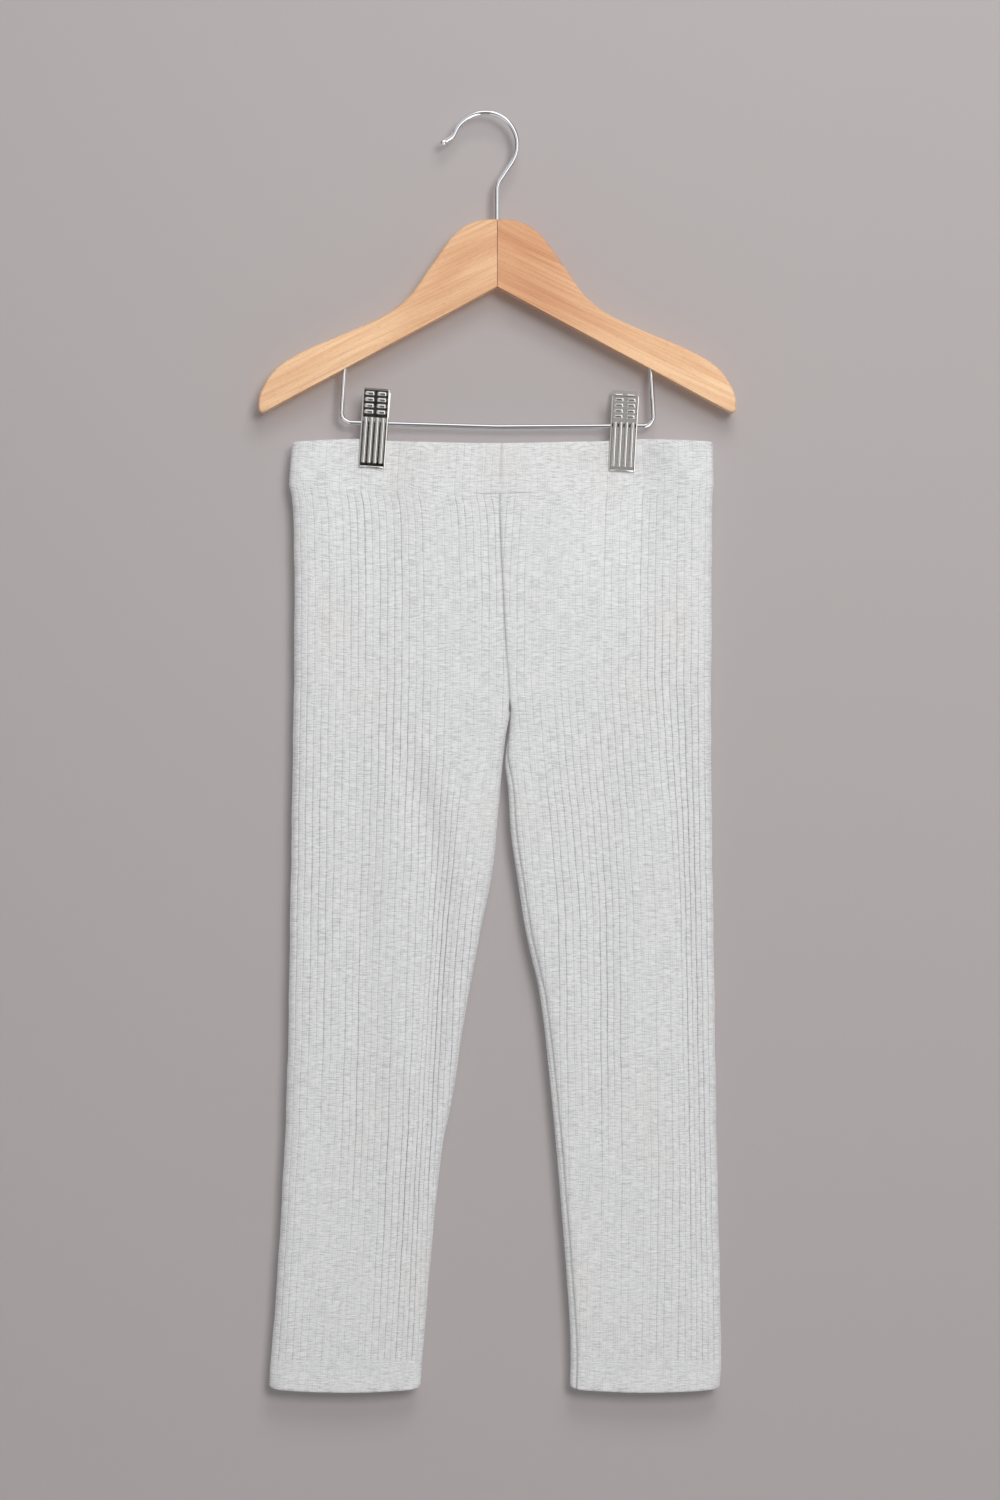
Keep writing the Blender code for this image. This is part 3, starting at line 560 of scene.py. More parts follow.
def rib_group():
    """Grooves, fine wales and stitches of a rib knit along Y. Position is in metres."""
    group, start, end = new_group(
        "Rib Knit",
        [
            ("Position", "NodeSocketVector", None),
            ("Pitch", "NodeSocketFloat", 0.0045),
            ("Strength", "NodeSocketFloat", 0.5),
        ],
        [(name, "NodeSocketFloat") for name in ("Groove", "Wales", "Height")],
    )
    if start is None:
        return group
    wiring = Wiring(group)
    apart = wiring.add("ShaderNodeSeparateXYZ", {"Vector": start.outputs["Position"]})
    across, along = apart.outputs["X"], apart.outputs["Y"]
    ribs = wiring.maths("ADD", wiring.maths("DIVIDE", across, start.outputs["Pitch"]), 0.5)
    nearest = wiring.maths("ABSOLUTE", wiring.maths("SUBTRACT", ribs, wiring.maths("ROUND", ribs)))
    groove = wiring.maths("SUBTRACT", 1.0, wiring.ramp(nearest, 0.010, 0.085))
    broken = wiring.stretched_noise(start.outputs["Position"], (230.0, 420.0, 1.0), 2.0, 0.6)
    groove = wiring.times(groove, wiring.ramp(broken, 0.22, 0.62))
    groove = wiring.times(groove, start.outputs["Strength"])
    wale_wave = wiring.maths("COSINE", wiring.times(ribs, 2 * math.pi * 3))
    wales = wiring.maths("POWER", wiring.maths("MULTIPLY_ADD", wale_wave, -0.5, 0.5), 0.6)
    faint = wiring.stretched_noise(start.outputs["Position"], (420.0, 90.0, 1.0), 2.0, 0.6)
    wales = wiring.mix(wiring.ramp(faint, 0.42, 0.62), (1.0, 1.0, 1.0, 1.0), wales)
    course_wave = wiring.maths(
        "ABSOLUTE", wiring.maths("SINE", wiring.times(along, math.pi / COURSE_PITCH)))
    loops = wiring.maths("MULTIPLY_ADD", course_wave, 0.12, wiring.times(wales, 0.25))
    height = wiring.maths("SUBTRACT", loops, groove)
    # Groove and Wales also serve as masks for painted shade: the knit material darkens its colour
    # in the grooves and between the wales.
    wiring.feed(end.inputs["Groove"], groove)
    wiring.feed(end.inputs["Wales"], wales)
    wiring.feed(end.inputs["Height"], height)
    return group


def grain_group():
    """Beech grain along X: soft growth lines and short dark flecks. Position is in metres."""
    group, start, end = new_group(
        "Beech Grain",
        [
            ("Position", "NodeSocketVector", None),
            ("Pale", "NodeSocketColor", (0.8, 0.5, 0.3, 1.0)),
            ("Warm", "NodeSocketColor", (0.6, 0.3, 0.15, 1.0)),
            ("Heart", "NodeSocketFloat", 0.0),
        ],
        [("Color", "NodeSocketColor"), ("Height", "NodeSocketFloat")],
    )
    if start is None:
        return group
    wiring = Wiring(group)
    place = start.outputs["Position"]
    broad = wiring.stretched_noise(place, (9.0, 50.0, 110.0), 3.0, 0.55, 0.8)
    lines = wiring.stretched_noise(place, (16.0, 300.0, 900.0), 3.0, 0.6, 0.2)
    flecks = wiring.stretched_noise(place, (300.0, 1500.0, 2600.0), 1.0)
    warmth = wiring.ramp(broad, 0.30, 0.72)
    colour = wiring.mix(warmth, start.outputs["Pale"], start.outputs["Warm"])
    grain_line = wiring.times(wiring.ramp(lines, 0.44, 0.64), 0.28)
    colour = wiring.mix(grain_line, colour, (0.50, 0.26, 0.13, 1.0))
    heartwood = wiring.mix(1.0, colour, (0.76, 0.62, 0.57, 1.0), "MULTIPLY")
    colour = wiring.mix(start.outputs["Heart"], colour, heartwood)
    fleck = wiring.times(wiring.ramp(flecks, 0.58, 0.72), 0.26)
    colour = wiring.mix(fleck, colour, (0.30, 0.14, 0.06, 1.0))
    wiring.feed(end.inputs["Color"], colour)
    wiring.feed(end.inputs["Height"], wiring.maths("SUBTRACT", wiring.times(lines, 0.5), fleck))
    return group


def plating_group():
    """Uneven gloss and fine handling marks of plated metal. Position is in metres."""
    group, start, end = new_group(
        "Plating Wear",
        [("Position", "NodeSocketVector", None), ("Roughness", "NodeSocketFloat", 0.15)],
        [("Roughness", "NodeSocketFloat"), ("Height", "NodeSocketFloat")],
    )
    if start is None:
        return group
    wiring = Wiring(group)
    place = start.outputs["Position"]
    smudges = wiring.noise(place, 160.0, 3.0, 0.6)
    marks = wiring.stretched_noise(place, (2600.0, 2600.0, 260.0), 2.0)
    least = wiring.maths("SUBTRACT", start.outputs["Roughness"], 0.05)
    rough = wiring.maths("MULTIPLY_ADD", smudges, 0.10, least)
    rough = wiring.maths("ADD", rough, wiring.times(wiring.ramp(marks, 0.62, 0.75), 0.08))
    wiring.feed(end.inputs["Roughness"], rough)
    wiring.feed(end.inputs["Height"], marks)
    return group


# ---------------------------------------------------------------- materials

def new_material(name):
    material = bpy.data.materials.new(name)
    material.use_nodes = True
    return material, Wiring(material.node_tree), material.node_tree.nodes["Principled BSDF"]


def four(colour):
    return (*colour, 1.0)


def knit_material(settings):
    """Matt marled rib knit, laid by the cloth's own map in metres."""
    if "Marled Rib Knit" in bpy.data.materials:
        return bpy.data.materials["Marled Rib Knit"]
    material, wiring, shader = new_material("Marled Rib Knit")
    cloth_map = wiring.add("ShaderNodeUVMap", uv_map="Cloth")
    strength = wiring.add("ShaderNodeAttribute", attribute_name="rib_strength")
    marl = wiring.shared(marl_group(), {
        "Position": cloth_map.outputs["UV"], "Light": four(settings.light_yarn),
        "Grey": four(settings.grey_yarn), "Amount": 0.70,
    })
    ribs = wiring.shared(rib_group(), {
        "Position": cloth_map.outputs["UV"], "Pitch": settings.rib_pitch,
        "Strength": strength.outputs["Fac"],
    })
    # Painted shade: the colour darkens towards grey in the rib grooves and between the fine wales.
    shade = wiring.times(ribs.outputs["Groove"], 0.36)
    colour = wiring.mix(shade, marl.outputs["Color"], (0.30, 0.30, 0.32, 1.0))
    wale_shade = wiring.times(wiring.maths("SUBTRACT", 1.0, ribs.outputs["Wales"]), 0.24)
    colour = wiring.mix(wale_shade, colour, (0.40, 0.40, 0.42, 1.0))
    # Painted shade: the colour darkens along each seam's crease.
    seam = wiring.add("ShaderNodeAttribute", attribute_name="seam_line").outputs["Fac"]
    colour = wiring.mix(wiring.times(seam, 0.45), colour, (0.22, 0.22, 0.23, 1.0))
    wiring.feed(shader.inputs["Base Color"], colour)
    fuzz = wiring.stretched_noise(cloth_map.outputs["UV"], (900.0, 1900.0, 1.0), 2.0)
    height = wiring.maths("MULTIPLY_ADD", fuzz, 0.25, ribs.outputs["Height"])
    height = wiring.maths("MULTIPLY_ADD", marl.outputs["Streaks"], -0.45, height)
    wiring.bump(shader, height, 0.5, 0.0003)
    shader.inputs["Roughness"].default_value = 0.92
    shader.inputs["Specular IOR Level"].default_value = 0.22
    shader.inputs["Sheen Weight"].default_value = 0.22
    shader.inputs["Sheen Roughness"].default_value = 0.45
    return material


def thread_material(settings):
    """Soft pale sewing thread, twisted."""
    if "Sewing Thread" in bpy.data.materials:
        return bpy.data.materials["Sewing Thread"]
    material, wiring, shader = new_material("Sewing Thread")
    place = wiring.add("ShaderNodeTexCoord").outputs["Object"]
    twist = wiring.stretched_noise(place, (2400.0, 2400.0, 1400.0), 2.0)
    light = four([min(1.0, value * 0.98) for value in settings.light_yarn])
    dark = four([value * 0.84 for value in settings.light_yarn])
    wiring.feed(shader.inputs["Base Color"], wiring.mix(twist, dark, light))
    wiring.bump(shader, twist, 0.3, 0.0001)
    shader.inputs["Roughness"].default_value = 0.8
    return material


def wood_material(name, settings, slope, heart_depth):
    """Satin lacquered beech with its grain at a slope to the horizontal, in radians."""
    material, wiring, shader = new_material(name)
    place = wiring.add("ShaderNodeTexCoord").outputs["Object"]
    turned = wiring.add("ShaderNodeMapping", {"Vector": place})
    turned.inputs["Rotation"].default_value = (0.0, slope, 0.0)
    apart = wiring.add("ShaderNodeSeparateXYZ", {"Vector": place})
    away = wiring.maths(
        "ABSOLUTE", wiring.maths("SUBTRACT", apart.outputs["X"], HANGER_X * MM))
    heart = wiring.maths("SUBTRACT", 1.0, wiring.ramp(away, 0.020, 0.095))
    grain = wiring.shared(grain_group(), {
        "Position": turned.outputs["Vector"], "Pale": four(settings.pale),
        "Warm": four(settings.warm), "Heart": wiring.times(heart, heart_depth),
    })
    wiring.feed(shader.inputs["Base Color"], grain.outputs["Color"])
    wiring.bump(shader, grain.outputs["Height"], 0.12, 0.0002)
    shader.inputs["Roughness"].default_value = 0.55
    shader.inputs["Specular IOR Level"].default_value = 0.3
    shader.inputs["Coat Weight"].default_value = 0.10
    shader.inputs["Coat Roughness"].default_value = 0.35
    return material


def metal_material(name, colour, roughness):
    """Plated metal with uneven gloss."""
    if name in bpy.data.materials:
        return bpy.data.materials[name]
    material, wiring, shader = new_material(name)
    place = wiring.add("ShaderNodeTexCoord").outputs["Object"]
    wear = wiring.shared(plating_group(), {"Position": place, "Roughness": roughness})
    wiring.feed(shader.inputs["Roughness"], wear.outputs["Roughness"])
    wiring.bump(shader, wear.outputs["Height"], 0.04, 0.0001)
    shader.inputs["Base Color"].default_value = four(colour)
    shader.inputs["Metallic"].default_value = 1.0
    return material


# ---------------------------------------------------------------- cloth form

def outer_edge(side, z):
    return curve_values([(row[0], row[1]) for row in LEG_ROWS[side]], z)


def inner_edge(side, z):
    return curve_values([(row[0], row[2]) for row in LEG_ROWS[side]], z)


def waist_seam_z(x):
    half = np.where(x < 0, LEG_ROWS["left"][1][1], LEG_ROWS["right"][1][1])
    wave = 0.35 * np.sin(x / 5.3) + 0.25 * np.sin(x / 2.4 + 1.0) + 0.3 * np.sin(x / 13.0)
    near_clips = np.exp(-((np.abs(x) - 60) / 60) ** 2)
    return BAND_LOWER_Z - BAND_SEAM_SAG * (1 - (x / half) ** 2) + wave * near_clips


def clip_hold(clip, x, z, reach):
    """1 where a clip holds the cloth, falling to 0 beside it and below it."""
    centre = clip.x - (clip.z - BAND_LOWER_Z) * 0.5 * math.sin(math.radians(clip.lean))
    beside = 1 - smoothstep((np.abs(x - centre) - PINCH_FLAT) / (reach - PINCH_FLAT))
    return beside * (1 - smoothstep((clip.z - JAW_DROP - 2 - z) / PINCH_FADE))


def middle_y(x, z):
    total = 0.0
    for clip in CLIPS:
        drop = np.clip(clip.z - z, 0.0, JAW_DROP)
        swing = drop * math.tan(math.radians(clip.tilt))
        total = total + swing * clip_hold(clip, x, z, SWING_REACH)
    return total


def half_depth(x, z, full, crown):
    depth = full * (FLAT_SHARE + (1 - FLAT_SHARE) * crown)
    hold = np.maximum(*(clip_hold(clip, x, z, PINCH_REACH) for clip in CLIPS))
    return depth + (PINCHED_HALF_DEPTH - depth) * hold


def fold_line(fold, z):
    path = ((fold.top_z, fold.top_x), (fold.mid_z, fold.mid_x), (fold.foot_z, fold.foot_x))
    return curve_values(path, z)


def fold_ends(fold, z):
    top = smoothstep((fold.top_z - z) / FOLD_END_FADE)
    return top * smoothstep((z - fold.foot_z) / FOLD_END_FADE)


def fold_depth(face, x, z):
    """How far the soft folds press a face in, with a low ridge beside each trough."""
    total = np.zeros_like(x)
    for fold in FOLDS:
        if fold.face != face:
            continue
        away = (x - fold_line(fold, z)) / fold.half_width
        uneven = 1 + 0.25 * math.sin(z / 23.0 + fold.top_x)
        ridges = 0.22 * np.exp(-(away + 1.9) ** 2) + 0.30 * np.exp(-(away - 1.8) ** 2)
        shape = np.exp(-away ** 2) - ridges
        total += fold.depth * uneven * fold_ends(fold, z) * shape
    return total


def ripple(face, x, z):
    """Low waves of cloth that isn't pressed quite flat."""
    turn = 0.0 if face == "front" else 2.1
    wave = 0.20 * np.sin(x / 17.0 + z / 71.0 + turn)
    wave += 0.15 * np.sin(x / 9.3 - z / 47.0 + 2 * turn)
    return wave + 0.12 * np.sin(z / 29.0 + x / 33.0 + 3 * turn)


def cloth_taken(face, side, x, z):
    """Length of cloth that the folds between the side fold and x take up."""
    outward = -1 if side == "left" else 1
    total = np.zeros_like(x)
    for fold in FOLDS:
        if fold.face != face or not fold.taken or (fold.top_x < 4) != (side == "left"):
            continue
        grown = smoothstep((fold.top_z + 10 - z) / 170.0)
        grown *= 1 - 0.45 * smoothstep((-640 - z) / 140.0)
        reach = 1.3 * fold.half_width
        lean = (fold.foot_x - fold.mid_x) / (fold.mid_z - fold.foot_z)
        line_x = fold.mid_x + lean * (fold.mid_z - z)
        passed = smoothstep(0.5 + outward * (line_x - x) / (2 * reach))
        total += fold.taken * grown * passed
    return total


def rib_strength(face, side, x, z):
    """How deep the rib grooves are and how dark their painted shade is, from 0 to 1."""
    strength = np.full_like(x, RIB_STRENGTH[side] if face == "front" else RIB_STRENGTH["back"])
    for fold in FOLDS:
        if fold.face != face or not fold.taken:
            continue
        away = (x - fold_line(fold, z)) / (fold.half_width * 1.9)
        near_ends = smoothstep((fold.top_z + 50 - z) / 70.0)
        near_ends *= smoothstep((z - fold.foot_z + 60) / 80.0)
        strength += (0.22 + 0.028 * fold.taken) * near_ends * np.exp(-away ** 2)
    strength += 0.12 * np.sin(x / 13.0 + z / 57.0) + 0.10 * np.sin(x / 29.0 - z / 91.0 + 1.0)
    if face == "front" and side == "right":
        smooth_thigh = np.exp(-((x - 34) / 42.0) ** 2 - ((z + 350) / 95.0) ** 2)
        strength -= 0.12 * smooth_thigh
    return np.clip(strength, 0.20, 1.0)


def section_shares(width, outer_reach, inner_reach, turn):
    """Distances from the side fold and height shares along one face of a cloth section."""
    angle = np.linspace(math.pi / 2, 0, 17)
    parts = [((1 - np.sin(angle)) * outer_reach, np.cos(angle))]
    flat = np.linspace(outer_reach, width - inner_reach, 72)[1:-1]
    parts.append((flat, np.ones_like(flat)))
    if inner_reach:
        angle = np.linspace(0, turn, 13)
        parts.append((width - (1 - np.sin(angle) / math.sin(turn)) * inner_reach, np.cos(angle)))
    else:
        parts.append((np.array([width]), np.ones(1)))
    return tuple(np.concatenate(column) for column in zip(*parts))


def leg_face(side, face, z):
    """Points of one face of a leg's section, from the side fold to the inner edge, mm."""
    sign = -1 if face == "front" else 1
    outward = -1 if side == "left" else 1
    top = smoothstep((BAND_LOWER_Z - z) / 32.0)
    foot = smoothstep((z - HEM_LINE_Z) / 36.0)
    full = BAND_HALF_DEPTH + (BODY_HALF_DEPTH - BAND_HALF_DEPTH) * top
    full = HEM_HALF_DEPTH + (full - HEM_HALF_DEPTH) * foot
    reach = BAND_FOLD_REACH + (OUTER_FOLD_REACH - BAND_FOLD_REACH) * top
    curved = (CROTCH_CURVE_TOP_Z - z) / (CROTCH_CURVE_TOP_Z - CROTCH_Z)
    turn = math.asin(min(1.0, max(0.05, curved)))
    wobble = 0.14 * math.sin(z / 9.0) + 0.1 * math.sin(z / 3.7)
    outer = float(outer_edge(side, z)) + outward * wobble
    inner = float(inner_edge(side, z))
    width = abs(outer - inner) - JOIN
    inner_reach = INNER_FOLD_REACH * (0.45 + 0.55 * float(smoothstep((CROTCH_Z - z) / 70.0)))
    distance, height = section_shares(width, reach, inner_reach, turn)
    x = outer - outward * distance
    crown = 4 * (distance / width) * (1 - distance / width)
    depth = half_depth(x, z, full, crown)
    pressed = fold_depth(face, x, z) - ripple(face, x, z)
    y = middle_y(x, z) + sign * (depth * height - pressed * height ** 2)
    shear = 1 - smoothstep((BAND_LOWER_Z - z) / TOP_SHEAR_REACH)
    drop = (waist_seam_z(x) - BAND_LOWER_Z) * shear
    return x, y, z + drop


def band_face(side, face, share):
    """The same for the waistband, a share of the way from its top edge to its seam."""
    sign = -1 if face == "front" else 1
    outward = -1 if side == "left" else 1
    fold_z = BAND_TOP[0][1] + share * (BAND_LOWER_Z - BAND_TOP[0][1])
    outer = float(outer_edge(side, fold_z))
    other = float(outer_edge("right" if side == "left" else "left", fold_z))
    inner = float(inner_edge(side, fold_z))
    distance, height = section_shares(abs(outer - inner), BAND_FOLD_REACH, 0.0, 0.0)
    x = outer - outward * distance
    top_z = curve_values(BAND_TOP, x)
    z = top_z + share * (waist_seam_z(x) - top_z)
    middle = (x - outer) / (other - outer)
    depth = half_depth(x, z, BAND_HALF_DEPTH, 4 * middle * (1 - middle))
    y = middle_y(x, z) + sign * depth * height
    return x, y, z


def running_length(x, y):
    return np.concatenate(([0.0], np.cumsum(np.hypot(np.diff(x), np.diff(y)))))


def outward_normals(x, y, side, sign):
    length = running_length(x, y)
    along_x, along_y = np.gradient(x, length), np.gradient(y, length)
    size = np.hypot(along_x, along_y)
    turn = (1 if side == "left" else -1) * -sign
    return turn * along_y / size, -turn * along_x / size


def lay_row(side, sections, columns, z, closed, seam_offset, folds=True):
    """One row of cloth, seam to side fold on the front and on to the seam on the back.

    Columns are lengths of cloth from the side fold. Those past the seam stop at it.
    """
    outward = -1 if side == "left" else 1
    lines = {}
    for face, sign in (("front", -1), ("back", 1)):
        x, y, height = sections[face]
        normal_x, normal_y = outward_normals(x, y, side, sign)
        normal_x[0], normal_y[0] = outward, 0.0
        if closed:
            normal_x[-1], normal_y[-1] = -outward, 0.0
        length = running_length(x, y)
        taken = cloth_taken(face, side, x, z) if folds else np.zeros_like(x)
        strength = rib_strength(face, side, x, z)
        lines[face] = np.array([x, y, height, normal_x, normal_y, strength, length, taken])
    halves = []
    for face, other in (("front", "back"), ("back", "front")):
        line, beyond = lines[face], lines[other]
        offset = seam_offset if face == "front" else -seam_offset
        if closed:
            rest = beyond[:, -2::-1].copy()
            rest[6] = line[6, -1] + (beyond[6, -1] - beyond[6, -2::-1])
            rest[7] = line[7, -1]
            line = np.concatenate((line, rest), axis=1)
        end_length = lines[face][6, -1] + (offset if closed else 0.0)
        cloth = line[6] + line[7]
        end = float(np.interp(end_length, line[6], cloth))
        place = np.minimum(columns, end)
        values = [np.interp(place, cloth, field) for field in line[:6]]
        away = end - place
        halves.append((place, away, values))
    (front, front_away, front_values), (back, back_away, back_values) = halves
    across = np.concatenate((front[::-1], -back[1:]))
    away = np.concatenate((front_away[::-1], back_away[1:]))
    x, y, height, normal_x, normal_y, strength = (
        np.concatenate((first[::-1], second[1:]))
        for first, second in zip(front_values, back_values)
    )
    points = np.stack((x, y, height), axis=1)
    normals = np.stack((normal_x, normal_y, np.zeros_like(x)), axis=1)
    settings = bpy.context.scene.leggings_knit
    return points, normals, across, away, strength * uneven_ribs(across, z, settings)


def uneven_ribs(across, z, settings):
    """A share for each rib groove, uneven from rib to rib and slowly changing down the cloth."""
    number = np.round(across * MM / settings.rib_pitch + 0.5)
    pick_one = np.abs(np.sin(number * 12.9898 + 0.5) * 43758.5453) % 1.0
    pick_two = np.abs(np.sin(number * 78.233 + 1.5) * 12345.678) % 1.0
    drift = np.sin(z / (38.0 + 40.0 * pick_two) + 6.28 * pick_one)
    return np.clip(0.74 + 0.55 * pick_one + 0.22 * drift, 0.35, 1.4)


def rib_height(across, away, strength, settings):
    """How far the ribbed surface stands from the cloth's form, mm."""
    pitch = settings.rib_pitch / MM
    place = np.abs(across) / pitch + 0.5
    gap = np.abs(place - np.round(place)) * pitch
    groove = np.exp(-(gap / 0.26) ** 2)
    crown = 1 - np.sin(np.pi * np.clip(gap / pitch, 0, 0.5))
    height = -(settings.groove_depth / MM * groove + 0.08 * crown) * strength
    height *= 1 - np.exp(-(away / 1.6) ** 2)
    return height - 0.8 * np.exp(-(away / 0.8) ** 2)


def seam_line(away, hidden):
    """Painted shade in a seam's crease: 1 along the seam, falling to 0 beside it; fainter where
    other sewing hides it.
    """
    return np.exp(-(away / 0.6) ** 2) * (0.25 if hidden else 1.0)


def rib_columns(length, settings):
    pitch = settings.rib_pitch / MM
    count = math.ceil(length / pitch) + 1
    places = (np.arange(count)[:, None] + np.array(RIB_SHARES)[None, :] - 0.5) * pitch
    places = places.ravel()
    return np.concatenate(([0.0], places[(places > 0.05) & (places < length)], [length]))


def cloth_object(name, rows, flip, wrap_rows=False, close_ends=False):
    """A mesh from rows of points, mm, with the cloth map, rib strength and painted seam shade on
    it.
    """
    points = np.array([row[0] for row in rows])
    across = np.array([row[1] for row in rows])
    down = np.array([row[2] for row in rows])
    strength = np.array([row[3] for row in rows])
    seam = np.array([row[4] for row in rows])
    count, width = points.shape[:2]
    world = (points + np.array((HANGER_X, 0.0, 0.0))) * MM
    index = np.arange(count * width).reshape(count, width)
    upper, lower = index[:-1], index[1:]
    if wrap_rows:
        upper, lower = index, np.roll(index, -1, axis=0)
    corners = np.stack((upper[:, :-1], upper[:, 1:], lower[:, 1:], lower[:, :-1]), axis=-1)
    corners = corners.reshape(-1, 4)
    if flip:
        corners = corners[:, ::-1]
    mesh = bpy.data.meshes.new(name)
    mesh.from_pydata(world.reshape(-1, 3).tolist(), [], corners.tolist())
    cloth_map = mesh.uv_layers.new(name="Cloth")
    flat = np.stack((across, down), axis=-1).reshape(-1, 2) * MM
    cloth_map.data.foreach_set("uv", flat[corners.ravel()].ravel().astype(np.float32))
    for label, values in (("rib_strength", strength), ("seam_line", seam)):
        attribute = mesh.attributes.new(label, "FLOAT", "POINT")
        attribute.data.foreach_set("value", values.ravel().astype(np.float32))
    edited = bmesh.new()
    edited.from_mesh(mesh)
    bmesh.ops.remove_doubles(edited, verts=edited.verts, dist=2e-6)
    bmesh.ops.dissolve_degenerate(edited, edges=edited.edges, dist=1e-6)
    loose = [vert for vert in edited.verts if not vert.link_faces]
    bmesh.ops.delete(edited, geom=loose, context="VERTS")
    if close_ends:
        bmesh.ops.holes_fill(edited, edges=[edge for edge in edited.edges if edge.is_boundary])
        bmesh.ops.recalc_face_normals(edited, faces=edited.faces)
    edited.to_mesh(mesh)
    edited.free()
    item = bpy.data.objects.new(name, mesh)
    bpy.context.scene.collection.objects.link(item)
    return item


def leg_heights():
    """Heights of the cloth rows down a leg, closer together at seams and at the crotch."""
    top, foot = BAND_LOWER_Z - JOIN, HEM_LINE_Z + JOIN
    heights = [top, top - 0.5, top - 1.1, top - 2.2, top - 4.2]
    heights += list(np.arange(top - 8.0, -336.0, -6.5))
    heights += list(np.arange(-338.0, CROTCH_Z + 1.0, -3.0)) + [CROTCH_Z + 0.8]
    heights += [CROTCH_Z, CROTCH_Z - 1.5, CROTCH_Z - 4.0]
    heights += list(np.arange(CROTCH_Z - 8.0, foot + 6.0, -6.5))
    heights += [foot + 3.4, foot + 1.4, foot + 0.5, foot]
    return heights


def with_flaps(values):
    """A row's values with two more at each end, for the seam allowance."""
    return np.concatenate((values[:1], values[:1], values, values[-1:], values[-1:]))


def make_leg(side, settings):
    """A leg panel: open along the centre seam above the crotch, a closed tube below it."""
    columns = rib_columns(LONGEST_CLOTH["leg"], settings)
    rows = []
    for z in leg_heights():
        closed = z <= CROTCH_Z
        sections = {face: leg_face(side, face, z) for face in ("front", "back")}
        offset = SEAM_OFFSET[side] * float(smoothstep((CROTCH_Z - z) / 45.0))
        points, normals, across, away, strength = lay_row(
            side, sections, columns, z, closed, offset)
        band = BAND_LOWER_Z - z
        fade = 1 - 0.45 * math.exp(-(band / 2.0) ** 2)
        pucker = 0.16 * np.sin(across / 2.9 + 0.7 * np.sin(across / 11.0))
        height = rib_height(across, away, strength * fade, settings)
        height += pucker * math.exp(-(band / 4.0) ** 2)
        height += 0.25 * math.exp(-((band - 1.2) / 1.4) ** 2)
        height -= 0.12 * math.exp(-((z - HEM_LINE_Z) / 0.8) ** 2)
        # the seam allowance turns in along the centre seam
        turned = 0.0 if closed else float(smoothstep((z - CROTCH_Z - 2) / 26.0))
        flap = turned * np.array(SEAM_FLAP)
        surface = with_flaps(points + normals * height[:, None])
        surface[:2, 1] += flap[::-1]
        surface[-2:, 1] -= flap
        normals = with_flaps(normals)
        across = with_flaps(across)
        across[:2] += flap[::-1]
        across[-2:] -= flap
        strength = with_flaps(strength)
        strength[2:-2] *= fade
        seam = with_flaps(seam_line(away, z > BAND_LOWER_Z - 9.0))
        down = np.full(len(surface), z)
        if not rows:
            for depth in WAIST_SEAM_TURNED:
                inset = surface - normals * depth
                inset[:, 2] -= 0.12 * depth
                rows.append((inset, across, down + depth, strength, seam))
        rows.append((surface, across, down, strength, seam))
    item = cloth_object(f"cloth_leg_{side}", rows, flip=side == "right")
    apply_modifier(item, "SOLIDIFY", thickness=settings.wall, offset=-1.0, use_rim=True)
    return smooth(item, 55)


def make_seam_allowance(face):
    """The overlocked edges inside the centre seam, pressed flat behind it."""
    sign = -1 if face == "front" else 1
    half_width, half_thickness = SEAM_ALLOWANCE_HALF
    ring = [(half_width * math.cos(turn), half_thickness * math.sin(turn))
            for turn in np.linspace(0, 2 * math.pi, 13)]
    across = np.array([wide + 3.0 * through for wide, through in ring])
    rows = []
    for z in np.arange(-233.0, -366.0, -3.3):
        x, y, height = leg_face("left", face, z)
        middle = np.array((x[-1], y[-1] - sign * 3.85, height[-1]))
        points = np.array([middle + (wide, through, 0.0) for wide, through in ring])
        points[:, 0] += 0.12 * math.sin(z * 1.9)
        rows.append((points, across, np.full(13, z), np.zeros(13), np.zeros(13)))
    item = cloth_object(f"seam_allowance_{face}", rows, flip=False, close_ends=True)
    return smooth(item, 60)


def hem_rows(side, settings):
    """Rows round one hem: down the outside, under its fold and up the inside."""
    columns = rib_columns(LONGEST_CLOTH["hem"], settings)
    radius = HEM_WALL / 2
    top = HEM_LINE_Z - JOIN
    spans = [(share, 0.0, 0.0) for share in (0.0, 0.03, 0.08, 0.18, 0.34, 0.50, 0.66, 0.82, 1.0)]
    for angle in (25, 50, 75, 105, 130, 155):
        turn = math.radians(angle)
        spans.append((1.0, radius * (1 - math.cos(turn)), -radius * math.sin(turn)))
    spans += [(share, HEM_WALL, 0.0) for share in (1.0, 0.6, 0.25, 0.0)]
    rows = []
    for share, inset, lift in spans:
        z = top + share * (HEM_BOTTOM_Z + radius - top)
        sections = {face: leg_face(side, face, z) for face in ("front", "back")}
        points, normals, across, away, strength = lay_row(
            side, sections, columns, z, True, SEAM_OFFSET[side])
        fade = 0.42 - 0.34 * share if inset == 0 else 0.08
        height = rib_height(across, away, strength * fade, settings)
        below = z - HEM_LINE_Z
        dent = math.exp(-(below / 0.8) ** 2) + math.exp(-((below + HEM_STITCH_GAP) / 0.8) ** 2)
        height -= 0.12 * dent if inset == 0 else 0.0
        height -= 0.15 * np.sin(across / 6.0 + 1.0) * share
        surface = points + normals * (height * (1 - inset / HEM_WALL * 0.8) - inset)[:, None]
        inner, outer = float(inner_edge(side, z)), float(outer_edge(side, z))
        place = (points[:, 0] - inner) / (outer - inner)
        from_fold = np.minimum(np.abs(points[:, 0] - inner), np.abs(points[:, 0] - outer))
        near_fold = np.exp(-from_fold / 2.2)
        rise = 2.0 * (2 * place - 1) ** 2 + 1.3 * near_fold
        surface[:, 2] += share * rise + lift
        down = surface[:, 2] if inset < radius else surface[:, 2] - 3.0 * inset
        rows.append((surface, across, down, strength * fade, seam_line(away, False)))
    return rows


def make_hem(side, settings):
    rows = hem_rows(side, settings)
    item = cloth_object(f"cloth_hem_{side}", rows, flip=side == "right", wrap_rows=True)
    return smooth(item, 55)


